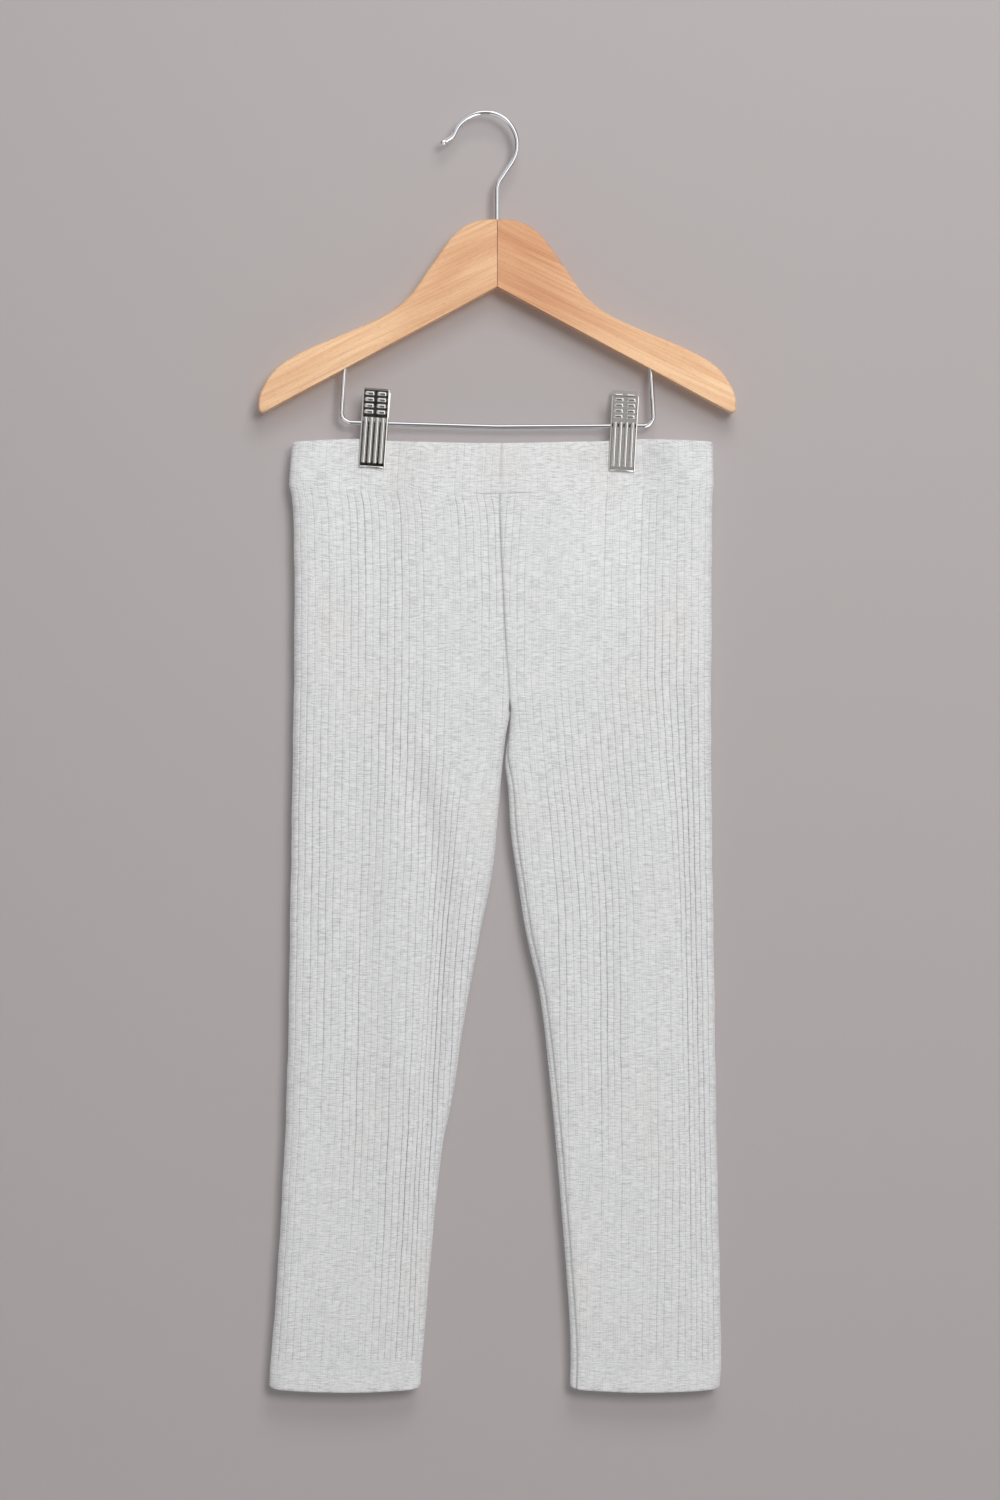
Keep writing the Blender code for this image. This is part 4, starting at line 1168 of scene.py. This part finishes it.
def make_band(settings):
    """The waistband: a casing folded over at its top edge, sewn at centre front and back."""
    columns = rib_columns(LONGEST_CLOTH["band"], settings)
    radius = CASING_WALL / 2
    spans = [(1.0, 0.10, 0.0), (0.975, 0.02, 0.0), (0.93, 0.0, 0.0)]
    spans += [(share, 0.0, 0.0) for share in (0.85, 0.72, 0.58, 0.44, 0.30, 0.17, 0.06)]
    for angle in (22, 45, 68, 90, 112, 135, 158):
        turn = math.radians(angle)
        spans.append((0.05, radius * (1 - math.cos(turn)), radius * math.sin(turn)))
    spans += [(share, CASING_WALL, 0.0) for share in (0.06, 0.35, 0.68, 1.0)]
    rows = []
    for share, inset, lift in spans:
        z = BAND_LOWER_Z + (1 - share) * BAND_HEIGHT
        parts = []
        for side in ("left", "right"):
            sections = {face: band_face(side, face, share) for face in ("front", "back")}
            points, normals, across, away, strength = lay_row(
                side, sections, columns, z, False, 0.0, folds=False)
            fade = 0.5 if inset < 0.5 else 0.1
            height = rib_height(across, away, strength * fade, settings)
            wave = np.sin(across / 3.3 + 0.8 * np.sin(across / 9.0))
            height += 0.10 * wave * math.sin(math.pi * share)
            surface = points + normals * (height * (1 - inset / CASING_WALL * 0.7) - inset)[:, None]
            surface[:, 2] += lift
            down = np.full(len(surface), z + lift) + (3.0 * inset if inset > radius else 0.0)
            seam = seam_line(away, share > 0.8) * (0.55 if inset < 1.0 else 0.0)
            parts.append((surface, across, down, strength * fade, seam))
        # front to back round the left side fold, then back to front round the right one
        rows.append(tuple(
            np.concatenate((first, second[::-1], first[:1])) for first, second in zip(*parts)))
    item = cloth_object("cloth_waistband", rows, flip=True, wrap_rows=True)
    return smooth(item, 55)


def make_hem_stitches(side):
    """Two rows of cover stitch round a hem."""
    verts, faces = [], []
    last_ring = len(STITCH_RINGS) - 1
    for line_z in (HEM_LINE_Z, HEM_LINE_Z - HEM_STITCH_GAP):
        for sign, face in ((1, "front"), (-1, "back")):
            x, y, z = leg_face(side, face, line_z)
            length = running_length(x, y)
            normal_x, normal_y = outward_normals(x, y, side, -sign)
            for middle in np.arange(1.6, length[-1] - 1.5, STITCH_PITCH):
                base = len(verts)
                for offset, thick in STITCH_RINGS:
                    centre_x, centre_y, centre_z, out_x, out_y = (
                        np.interp(middle + offset, length, field)
                        for field in (x, y, z, normal_x, normal_y))
                    for step in range(STITCH_SIDES):
                        angle = 2 * math.pi * step / STITCH_SIDES
                        out = -0.12 + thick * math.cos(angle)
                        verts.append((
                            centre_x + out_x * out, centre_y + out_y * out,
                            centre_z + thick * math.sin(angle) * 1.1))
                for ring in range(last_ring):
                    for step in range(STITCH_SIDES):
                        first = base + ring * STITCH_SIDES + step
                        second = base + ring * STITCH_SIDES + (step + 1) % STITCH_SIDES
                        faces.append((first, second, second + STITCH_SIDES, first + STITCH_SIDES))
                end = base + last_ring * STITCH_SIDES
                faces.append(tuple(range(base, base + STITCH_SIDES))[::-1])
                faces.append(tuple(range(end, end + STITCH_SIDES)))
    world = (np.array(verts) + np.array((HANGER_X, 0.0, 0.0))) * MM
    mesh = bpy.data.meshes.new(f"hem_stitches_{side}")
    mesh.from_pydata(world.tolist(), [], faces)
    item = bpy.data.objects.new(f"hem_stitches_{side}", mesh)
    bpy.context.scene.collection.objects.link(item)
    pick(item)
    bpy.ops.object.mode_set(mode="EDIT")
    face_outward()
    leave_edit()
    return smooth(item, 60)


# ---------------------------------------------------------------- hanger pieces

def outline_curve(points, steps):
    """Points on a smooth curve through the outline's own points."""
    knots = [Vector((x, 0, z)) for x, z in points]
    padded = [Vector((-knots[1].x, 0, knots[1].z))] + knots + [2 * knots[-1] - knots[-2]]
    outline = []
    for before, start, end, after in zip(padded, padded[1:], padded[2:], padded[3:]):
        count = max(3, round((end - start).length / steps))
        for step in range(count):
            share = step / count
            square, cube = share ** 2, share ** 3
            point = start * (2 * cube - 3 * square + 1) + end * (3 * square - 2 * cube)
            point += (end - before) / 2 * (cube - 2 * square + share)
            point += (after - start) / 2 * (cube - square)
            outline.append(point)
    outline.append(knots[-1])
    return outline


def rounded_path(corners, radius, steps=8):
    """A path through corners, each turned through an arc of the given radius."""
    path = [corners[0]]
    for before, corner, after in zip(corners, corners[1:], corners[2:]):
        into = (before - corner).normalized()
        out = (after - corner).normalized()
        half = into.angle(out) / 2
        trim = radius / math.tan(half)
        if trim < 1.0:
            path.append(corner)
            continue
        centre = corner + (into + out).normalized() * radius / math.sin(half)
        start = (corner + into * trim - centre).normalized()
        end = (corner + out * trim - centre).normalized()
        for step in range(steps + 1):
            path.append(centre + start.slerp(end, step / steps) * radius)
    path.append(corners[-1])
    return path


def flat_board(name, points, thickness):
    """A board cut to an outline in the X-Z plane, as thick as said along Y."""
    deselect_all()
    bpy.ops.mesh.primitive_plane_add(size=0.01)
    item = name_new(name)
    bpy.ops.object.mode_set(mode="EDIT")
    edited = bmesh.from_edit_mesh(item.data)
    bmesh.ops.delete(edited, geom=edited.verts[:], context="VERTS")
    half = thickness / 2
    corners = [edited.verts.new(at(point.x, -half, point.z)) for point in points]
    edited.faces.new(corners)
    bmesh.update_edit_mesh(item.data)
    bpy.ops.mesh.select_all(action="SELECT")
    bpy.ops.mesh.extrude_region_move(TRANSFORM_OT_translate={"value": (0, thickness * MM, 0)})
    face_outward()
    leave_edit()
    return item


def make_wood_arm(side, materials):
    """Half of the hanger's wood: a rounded board, bored for the wires and grooved below."""
    sign = -1 if side == "left" else 1
    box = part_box(f"wood_arm_{side}")
    thickness = (box[1].y - box[0].y) / MM
    outline = outline_curve(WOOD_TOP_EDGE, 2.2)
    tip = Vector((WOOD_TIP[0], 0, WOOD_TIP[1]))
    foot = Vector((JOINT_GAP, 0, WOOD_UNDERSIDE_MIDDLE_Z))
    outline = outline[:-1] + rounded_path([outline[-1], tip + Vector((0.6, 0, -0.2)), foot], 2.2, 5)
    outline = [Vector((sign * max(point.x, JOINT_GAP), 0, point.z)) for point in outline]
    arm = flat_board(f"wood_{side}", outline, thickness)

    def from_joint(edge):
        return max(abs(vert.co.x - HANGER_X * MM) for vert in edge.verts)

    def rounded_edge(edge):
        first, second = edge.verts
        along = abs(first.co.y - second.co.y) < 1e-5
        return along and from_joint(edge) >= 1.4 * JOINT_GAP * MM

    def underside(edge):
        first, second = edge.verts
        return rounded_edge(edge) and abs(first.co.x - second.co.x) > 0.08

    bevel(arm, lambda edge: rounded_edge(edge) and not underside(edge), WOOD_ROUNDING, 4, True)
    bevel(arm, underside, *UNDERSIDE_CHAMFER[side], True)
    bevel(arm, lambda edge: from_joint(edge) < 2 * JOINT_GAP * MM, JOINT_CHAMFER, 1, True)

    bore_radius = HOOK_WIRE_RADIUS + WOOD_BORE_CLEARANCE
    cut_away(arm, new_rod("shank_bore", 40, bore_radius, 31, at(0, 0, -75.5)))
    foot_x, foot_z = BAR_POINTS[0] if sign < 0 else BAR_POINTS[-1]
    corner_x, corner_z = BAR_POINTS[1] if sign < 0 else BAR_POINTS[-2]
    lean = math.atan2(corner_x - foot_x, foot_z - corner_z)
    bore_radius = BAR_WIRE_RADIUS + WOOD_BORE_CLEARANCE
    bore_place = at(foot_x + (corner_x - foot_x) * 0.25, 0, -162)
    cut_away(arm, new_rod("bar_bore", 32, bore_radius, 26, bore_place, (0, -lean, 0)))
    slope = math.atan2(WOOD_UNDERSIDE_MIDDLE_Z - WOOD_TIP[1], WOOD_TIP[0])
    run, width, height = UNDERSIDE_GROOVE
    middle_x = 75.0
    middle = at(sign * middle_x, 0, WOOD_UNDERSIDE_MIDDLE_Z - math.tan(slope) * middle_x)
    groove_size = (run / math.cos(slope), width, height)
    cut_away(arm, new_block("underside_groove", groove_size, middle, (0, sign * slope, 0)))
    smooth(arm, 32)
    return finish_piece(arm, materials[side], "beech", f"wood_arm_{side}")


def bent_wire(name, points, radii, radius, material, node):
    """A round wire along points in metres; each share scales its radius."""
    deselect_all()
    bpy.ops.curve.primitive_bezier_curve_add(location=(0, 0, 0))
    item = name_new(name)
    curve = item.data
    curve.splines.clear()
    spline = curve.splines.new("POLY")
    spline.points.add(len(points) - 1)
    for target, point, share in zip(spline.points, points, radii):
        target.co = (*point, 1.0)
        target.radius = share
    curve.dimensions = "3D"
    curve.bevel_depth = radius * MM
    curve.bevel_resolution = 7
    curve.use_fill_caps = True
    pick(item)
    bpy.ops.object.convert(target="MESH")
    item = bpy.context.object
    settle(item)
    edit_select(item, "VERT", lambda vert: True)
    bpy.ops.mesh.remove_doubles(threshold=1e-7)
    face_outward()
    leave_edit()
    smooth(item, 50)
    return finish_piece(item, material, "chrome_wire", node) if node else item


def heading_vector(heading):
    return Vector((math.cos(heading), 0, math.sin(heading)))


def trace_hook():
    """Points along the hook from the shank's foot, in metres from the seat, and radius shares."""
    position, heading = Vector((0, 0, 0)), math.pi / 2
    points, throat = [position.copy()], None
    for number, move in enumerate(HOOK_MOVES):
        if move.turn:
            left = math.copysign(math.pi / 2, move.turn)
            centre = position + heading_vector(heading + left) * move.radius
            steps = max(8, round(abs(move.turn) / 3))
            for _ in range(steps):
                heading += math.radians(move.turn) / steps
                points.append(centre + heading_vector(heading - left) * move.radius)
            if number == HOOK_THROAT_MOVE:
                throat = centre
        else:
            points.append(position + heading_vector(heading) * move.length)
        position = points[-1].copy()
    seat = throat + Vector((0, 0, HOOK_MOVES[HOOK_THROAT_MOVE].radius - HOOK_WIRE_RADIUS))
    shares = [1.0] * len(points)
    forward = heading_vector(heading)
    centre = points[-1] + forward * HOOK_BALL_RADIUS * 0.8
    for angle in (128, 118, 108, 98, 88, 76, 64, 52, 40, 28, 16, 6):
        points.append(centre + forward * HOOK_BALL_RADIUS * math.cos(math.radians(angle)))
        shares.append(HOOK_BALL_RADIUS * math.sin(math.radians(angle)) / HOOK_WIRE_RADIUS)
    return [(point - seat) * MM for point in points], shares


def make_hook(material):
    points, shares = trace_hook()
    return bent_wire("hook_wire", points, shares, HOOK_WIRE_RADIUS, material, "hook")


def make_bar(material):
    corners = [Vector((x, 0, z)) for x, z in BAR_POINTS]
    path = rounded_path(corners, BAR_CORNER_RADIUS, 10)
    points = [at(point.x, 0, point.z) for point in path]
    shares = [1.0] * len(points)
    return bent_wire("bar_wire", points, shares, BAR_WIRE_RADIUS, material, "trouser_bar")


def rounded_block(name, centre, size, rounding, segments=2):
    """A block with rounded edges, mm in the clip's own frame."""
    item = settle(new_block(name, size, Vector(centre) * MM))
    bevel(item, lambda edge: True, rounding, segments)
    return item


def slice_at(item, heights):
    """Adds an edge all round a piece at each height, mm."""
    for z in heights:
        edit_select(item, "FACE", lambda face: True)
        bpy.ops.mesh.bisect(plane_co=(0, 0, z * MM), plane_no=(0, 0, 1))
        leave_edit()


def turn_above(item, flat_z, height, y, degrees):
    """Turns what lies above a height about a line across the piece there, mm."""
    edit_select(item, "VERT", lambda vert: flat_z[vert.index] > height * MM - 1e-7)
    bpy.ops.transform.rotate(
        value=-math.radians(degrees), orient_axis="X", orient_type="GLOBAL",
        center_override=(0, y * MM, height * MM))
    leave_edit()


def make_plate(clip, face):
    """A flat pressed plate of a clip with its rim and its recess, in the clip's own frame."""
    half, length = JAW_WIDTH / 2, JAW_DROP + LEVER_LENGTH
    middle_z = (LEVER_LENGTH - JAW_DROP) / 2
    outside_y = -JAW_PIVOT_HALF_GAP
    plate = settle(new_block(
        f"clip_plate_{clip.side}_{face}", (JAW_WIDTH, JAW_PLATE, length),
        Vector((0, outside_y + JAW_PLATE / 2, middle_z)) * MM))
    bevel(plate, lambda edge: abs(edge.verts[0].co.y - edge.verts[1].co.y) > 1e-6, 1.1, 4)
    edit_select(plate, "FACE", lambda part: part.normal.y < -0.9 and part.calc_area() > 1e-5)
    bpy.ops.mesh.inset(thickness=RIM_WIDTH * MM, depth=0)
    bpy.ops.mesh.inset(thickness=0.3 * MM, depth=-RECESS_DEPTH * MM)
    leave_edit()

    def on_rim(vert):
        beside = abs(vert.co.x) > (half - 0.02) * MM
        at_end = abs(vert.co.z - middle_z * MM) > (length / 2 - 1.2) * MM
        return abs(vert.co.y - outside_y * MM) < 1e-6 and (beside or at_end)

    def outer_rim(edge):
        upright = any(abs(part.normal.y) < 0.3 for part in edge.link_faces)
        return all(on_rim(vert) for vert in edge.verts) and len(edge.link_faces) == 2 and upright

    bevel(plate, outer_rim, 0.25, 2)
    slice_at(plate, (-26.9, -25.6, -12.0, -2.4, -0.8, 0.8, 2.4, 4.0, 12.0))
    return plate


def make_flute(x, recess_y):
    """A long raised bead in a plate's recess, lower than it is wide."""
    flute = settle(new_rod(
        "flute", 20, FLUTE_RADIUS, FLUTE_LENGTH, Vector((x, recess_y, -10.9)) * MM))
    bevel(flute, lambda edge: abs(edge.verts[0].co.z - edge.verts[1].co.z) < 1e-7, 1.0, 3)
    for vert in flute.data.vertices:
        vert.co.y = recess_y * MM + (vert.co.y - recess_y * MM) * 0.75
    slice_at(flute, (-2.4, -0.8, 0.8, 2.4))
    return flute


def make_ears(clip, face):
    """The two ears of a plate, bored for the bar."""
    outer_x = JAW_WIDTH / 2 - (0.02 if face == "front" else EAR_PLATE + 0.4)
    ears = join("ears", [
        rounded_block(
            "ear", (sign * (outer_x - EAR_PLATE / 2), -1.1, -1.0), (EAR_PLATE, 7.1, 8.6), 0.25)
        for sign in (-1, 1)
    ])
    turn = math.pi / 2 + math.radians(BAR_SLOPE[clip.side]) - math.radians(clip.lean)
    return cut_away(ears, new_rod(
        "ear_bore", 32, BAR_WIRE_RADIUS + EAR_BORE_CLEARANCE, 30, (0, 0, 0), (0, turn, 0)))


def make_jaw(clip, face, material):
    """A pressed plate with rim, thumb pads, flutes and lip, and two ears round the bar."""
    outside_y = -JAW_PIVOT_HALF_GAP
    recess_y = outside_y + RECESS_DEPTH
    parts = [make_plate(clip, face)]
    name = parts[0].name
    for row in range(4):
        for column in (-1, 1):
            place = (column * PAD_COLUMN_X, recess_y + 0.40, PAD_LOWEST_Z + row * PAD_STEP)
            parts.append(rounded_block("pad", place, PAD_SIZE, 1.12, 5))
    parts += [make_flute((column - 1.5) * FLUTE_STEP, recess_y) for column in range(4)]
    lip_size = (JAW_WIDTH - 1.6, 1.3, 1.1)
    parts.append(rounded_block("lip", (0, outside_y + 0.25, -27.6), lip_size, 0.4, 3))
    jaw = join(name, parts)
    flat_z = [vert.co.z for vert in jaw.data.vertices]
    for height, degrees in LEVER_BENDS:
        turn_above(jaw, flat_z, height, outside_y + JAW_PLATE / 2, degrees)
    # the plate runs in a little towards the cloth
    for vert, z in zip(jaw.data.vertices, flat_z):
        if z < -0.8 * MM:
            vert.co.y += (-0.8 * MM - z) / (JAW_DROP * MM) * JAW_CLOSING * MM
    jaw = join(name, [jaw, make_ears(clip, face)])
    if face == "back":
        for vert in jaw.data.vertices:
            vert.co.y = -vert.co.y
            vert.co.x = -vert.co.x
    jaw.rotation_euler = (math.radians(clip.tilt), math.radians(clip.lean), 0)
    jaw.location = at(clip.x, 0, clip.z)
    settle(jaw)
    smooth(jaw, 38)
    return finish_piece(jaw, material, "nickel_plate", f"clip_{clip.side}_{face}_jaw")


def make_spring(clip, material):
    """A coil round the bar with a leg down the inside of each plate."""
    first_point = 1 if clip.side == "left" else 2
    start, end = BAR_POINTS[first_point:first_point + 2]
    along = Vector((end[0] - start[0], 0, end[1] - start[1])).normalized()
    across = Vector((0, 1, 0))
    upward = along.cross(across)
    if upward.z < 0:
        upward = -upward
    middle = Vector((clip.x, 0, clip.z))
    points = []
    steps = SPRING_TURNS * 20
    for step in range(int(steps) + 1):
        share = step / steps
        angle = math.pi - 2 * math.pi * SPRING_TURNS * share
        spoke = across * math.cos(angle) + upward * math.sin(angle)
        reach = along * (SPRING_HALF_LENGTH * (2 * share - 1))
        points.append(middle + reach + spoke * SPRING_RADIUS)
    feet = [
        end + Vector((0, math.copysign(0.9, end.y), -SPRING_LEG)) for end in (points[0], points[-1])
    ]
    points = [feet[0]] + points + [feet[1]]
    world = [at(point.x, point.y, point.z) for point in points]
    shares = [1.0] * len(world)
    spring = bent_wire(
        f"spring_{clip.side}", world, shares, SPRING_WIRE_RADIUS, material, None)
    return finish_piece(spring, material, "nickel_plate", f"clip_{clip.side}_spring")


# ---------------------------------------------------------------- operators

class AddLegs(bpy.types.Operator):
    """Adds both leg panels of rib knit"""

    bl_idname = "leggings.add_legs"
    bl_label = "Add Legs"

    def execute(self, context):
        settings = context.scene.leggings_knit
        for side in ("left", "right"):
            leg = make_leg(side, settings)
            finish_piece(leg, knit_material(settings), "rib_knit",
                         *(f"leg_{side}_{part}" for part in ("hip", "thigh", "shin")))
            allowances = []
            if side == "left":
                allowances = [make_seam_allowance(face) for face in ("front", "back")]
                for allowance in allowances:
                    finish_piece(allowance, knit_material(settings), "rib_knit")
        return {"FINISHED"}


class AddWaistband(bpy.types.Operator):
    """Adds the elastic waistband"""

    bl_idname = "leggings.add_waistband"
    bl_label = "Add Waistband"

    def execute(self, context):
        settings = context.scene.leggings_knit
        band = make_band(settings)
        finish_piece(band, knit_material(settings), "rib_knit", "waistband")
        return {"FINISHED"}


class AddHems(bpy.types.Operator):
    """Adds the turned-up hems and their stitches"""

    bl_idname = "leggings.add_hems"
    bl_label = "Add Hems"

    def execute(self, context):
        settings = context.scene.leggings_knit
        for side in ("left", "right"):
            hem = make_hem(side, settings)
            finish_piece(hem, knit_material(settings), "rib_knit", f"hem_{side}")
            stitches = make_hem_stitches(side)
            finish_piece(stitches, thread_material(settings), "rib_knit")
        return {"FINISHED"}


class AddWood(bpy.types.Operator):
    """Adds the two halves of the wooden hanger"""

    bl_idname = "leggings.add_wood"
    bl_label = "Add Wood"

    def execute(self, context):
        settings = context.scene.leggings_wood
        materials = {
            "left": wood_material("Beech Left", settings, math.radians(26), 0.35),
            "right": wood_material("Beech Right", settings, math.radians(-26), 1.0),
        }
        for side in ("left", "right"):
            make_wood_arm(side, materials)
        return {"FINISHED"}


class AddWires(bpy.types.Operator):
    """Adds the hook and the bar"""

    bl_idname = "leggings.add_wires"
    bl_label = "Add Wires"

    def execute(self, context):
        chrome = metal_material("Chrome Wire", context.scene.leggings_metal.chrome, 0.06)
        make_hook(chrome)
        make_bar(chrome)
        return {"FINISHED"}


class AddClips(bpy.types.Operator):
    """Adds the two sprung clips"""

    bl_idname = "leggings.add_clips"
    bl_label = "Add Clips"

    def execute(self, context):
        nickel = metal_material("Nickel Plate", context.scene.leggings_metal.nickel, 0.09)
        for clip in CLIPS:
            for face in ("front", "back"):
                make_jaw(clip, face, nickel)
            make_spring(clip, nickel)
        return {"FINISHED"}


def area_light(name, location, target, size, power, colour=(1.0, 1.0, 1.0)):
    deselect_all()
    bpy.ops.object.light_add(type="AREA", location=location)
    light = name_new(name)
    light.data.shape = "SQUARE"
    light.data.size = size
    light.data.energy = power
    light.data.color = colour
    light.rotation_euler = (Vector(target) - Vector(location)).to_track_quat("-Z", "Y").to_euler()
    return light


def studio_bands(wiring, height, bands):
    """Light and dark bands of the studio, by one part of the direction from -1 to 1."""
    node = wiring.add("ShaderNodeValToRGB", {"Fac": wiring.maths("MULTIPLY_ADD", height, 0.5, 0.5)})
    for place, value in bands:
        stop = node.color_ramp.elements.new(place * 0.5 + 0.5)
        stop.color = (value, value, value * 1.02, 1.0)
    node.color_ramp.elements.remove(node.color_ramp.elements[0])
    node.color_ramp.elements.remove(node.color_ramp.elements[-1])
    return node.outputs["Color"]


def wall_material(settings):
    """Matt wall paint, clear when seen from behind."""
    material, wiring, shader = new_material("Wall Paint")
    place = wiring.add("ShaderNodeTexCoord").outputs["Object"]
    mottle = wiring.noise(place, 2.2, 3.0)
    low = four([value * 0.985 for value in settings.wall])
    high = four([min(1.0, value * 1.015) for value in settings.wall])
    wiring.feed(shader.inputs["Base Color"], wiring.mix(mottle, low, high))
    shader.inputs["Roughness"].default_value = 0.9
    shader.inputs["Specular IOR Level"].default_value = 0.2
    behind = wiring.add("ShaderNodeNewGeometry").outputs["Backfacing"]
    clear = wiring.add("ShaderNodeBsdfTransparent")
    both = wiring.add("ShaderNodeMixShader")
    wiring.feed(both.inputs[0], behind)
    wiring.feed(both.inputs[1], shader.outputs[0])
    wiring.feed(both.inputs[2], clear.outputs[0])
    output = material.node_tree.nodes["Material Output"]
    wiring.feed(output.inputs["Surface"], both.outputs[0])
    return material


def floor_material(settings):
    """Pale, slightly uneven floor paint."""
    material, wiring, shader = new_material("Pale Floor")
    place = wiring.add("ShaderNodeTexCoord").outputs["Object"]
    low = four([value * 0.98 for value in settings.floor])
    colour = wiring.mix(wiring.noise(place, 3.0, 3.0), low, four(settings.floor))
    wiring.feed(shader.inputs["Base Color"], colour)
    shader.inputs["Roughness"].default_value = 0.7
    return material


def stage_plane(name, location, rotation, size, material):
    """A flat piece of the studio, its size in metres."""
    deselect_all()
    bpy.ops.mesh.primitive_plane_add(size=1.0, location=location, rotation=rotation)
    item = name_new(name)
    item.scale = (*size, 1.0)
    settle(item)
    item.data.materials.append(material)
    return item


def studio_world(settings):
    """Soft light from all round; metal mirrors bands of light and dark instead."""
    world = bpy.data.worlds.new("studio")
    world.use_nodes = True
    wiring = Wiring(world.node_tree)
    direction = wiring.add("ShaderNodeTexCoord").outputs["Generated"]
    apart = wiring.add("ShaderNodeSeparateXYZ", {"Vector": direction})
    mirrored = wiring.mix(
        wiring.ramp(wiring.maths("ABSOLUTE", apart.outputs["X"]), 0.12, 0.20),
        studio_bands(wiring, apart.outputs["Z"], STUDIO_BANDS),
        studio_bands(wiring, apart.outputs["X"], STUDIO_SIDES))
    height = wiring.ramp(apart.outputs["Z"], -0.9, 0.6)
    soft = wiring.mix(height, (0.30, 0.298, 0.295, 1.0), (0.46, 0.465, 0.47, 1.0))
    rays = wiring.add("ShaderNodeLightPath")
    colour = wiring.mix(rays.outputs["Is Glossy Ray"], soft, mirrored)
    colour = wiring.mix(rays.outputs["Is Camera Ray"], colour, (0.62, 0.61, 0.60, 1.0))
    background = world.node_tree.nodes["Background"]
    wiring.feed(background.inputs["Color"], colour)
    background.inputs["Strength"].default_value = settings.fill
    return world


class AddStage(bpy.types.Operator):
    """Adds the wall, floor, lights and camera"""

    bl_idname = "leggings.add_stage"
    bl_label = "Add Stage"

    def execute(self, context):
        settings = context.scene.leggings_stage
        centre = at(*PICTURE_CENTRE)
        upright = (math.pi / 2, 0, 0)
        wall = stage_plane(
            "wall", (centre.x, WALL_Y, centre.z), upright, (3.6, 2.6), wall_material(settings))
        wall.visible_shadow = False
        floor = stage_plane(
            "floor", (centre.x, -0.735, FLOOR_Z), (0, 0, 0), (3.6, 1.5), floor_material(settings))

        area_light("key_light", (centre.x + 0.75, -3.0, centre.z + 0.78),
                   centre + Vector((0, 0, 0.25)), 0.9, settings.key_power, (1.0, 0.985, 0.965))
        area_light("top_light", (centre.x + 0.25, -1.2, centre.z + 1.1),
                   centre + Vector((0, 0, 0.2)), 0.7, settings.top_power)
        area_light("back_light", (centre.x, 2.6, centre.z + 1.0), centre, 1.4, 40.0)
        # plated wire mirrors the soft studio round it, without the lamps' and the floor's glare
        for name in ("key_light", "top_light", "floor"):
            bpy.data.objects[name].visible_glossy = False
        context.scene.world = studio_world(settings)

        deselect_all()
        bpy.ops.object.camera_add(location=(centre.x, CAMERA_Y, centre.z), rotation=upright)
        camera = name_new("camera")
        camera.data.sensor_width = 36.0
        camera.data.lens = CAMERA_LENS
        camera.data.clip_end = 50.0
        context.scene.camera = camera
        context.scene.view_settings.view_transform = "Standard"
        context.scene.view_settings.look = "None"
        return {"FINISHED"}


class LEGGINGS_PT_panel(bpy.types.Panel):
    """Lists the operators and settings of the leggings"""

    bl_label = "Leggings on a Hanger"
    bl_idname = "LEGGINGS_PT_panel"
    bl_space_type = "VIEW_3D"
    bl_region_type = "UI"
    bl_category = "Leggings"

    def draw(self, context):
        layout = self.layout
        for operator in OPERATORS:
            layout.operator(operator.bl_idname)
        for attribute, group in SETTINGS.items():
            box = layout.box()
            values = getattr(context.scene, attribute)
            for name in group.__annotations__:
                box.prop(values, name)


SETTINGS = {
    "leggings_knit": KnitSettings,
    "leggings_wood": WoodSettings,
    "leggings_metal": MetalSettings,
    "leggings_stage": StageSettings,
}
OPERATORS = (AddWood, AddWires, AddClips, AddWaistband, AddLegs, AddHems, AddStage)


def register():
    for attribute, group in SETTINGS.items():
        bpy.utils.register_class(group)
        setattr(bpy.types.Scene, attribute, bpy.props.PointerProperty(type=group))
    for operator in OPERATORS:
        bpy.utils.register_class(operator)
    bpy.utils.register_class(LEGGINGS_PT_panel)


def unregister():
    bpy.utils.unregister_class(LEGGINGS_PT_panel)
    for operator in reversed(OPERATORS):
        bpy.utils.unregister_class(operator)
    for attribute, group in reversed(SETTINGS.items()):
        delattr(bpy.types.Scene, attribute)
        bpy.utils.unregister_class(group)


def main():
    register()
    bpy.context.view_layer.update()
    bpy.ops.leggings.add_wood()
    bpy.ops.leggings.add_wires()
    bpy.ops.leggings.add_clips()
    bpy.ops.leggings.add_waistband()
    bpy.ops.leggings.add_legs()
    bpy.ops.leggings.add_hems()
    bpy.ops.leggings.add_stage()


if __name__ == "__main__":
    main()
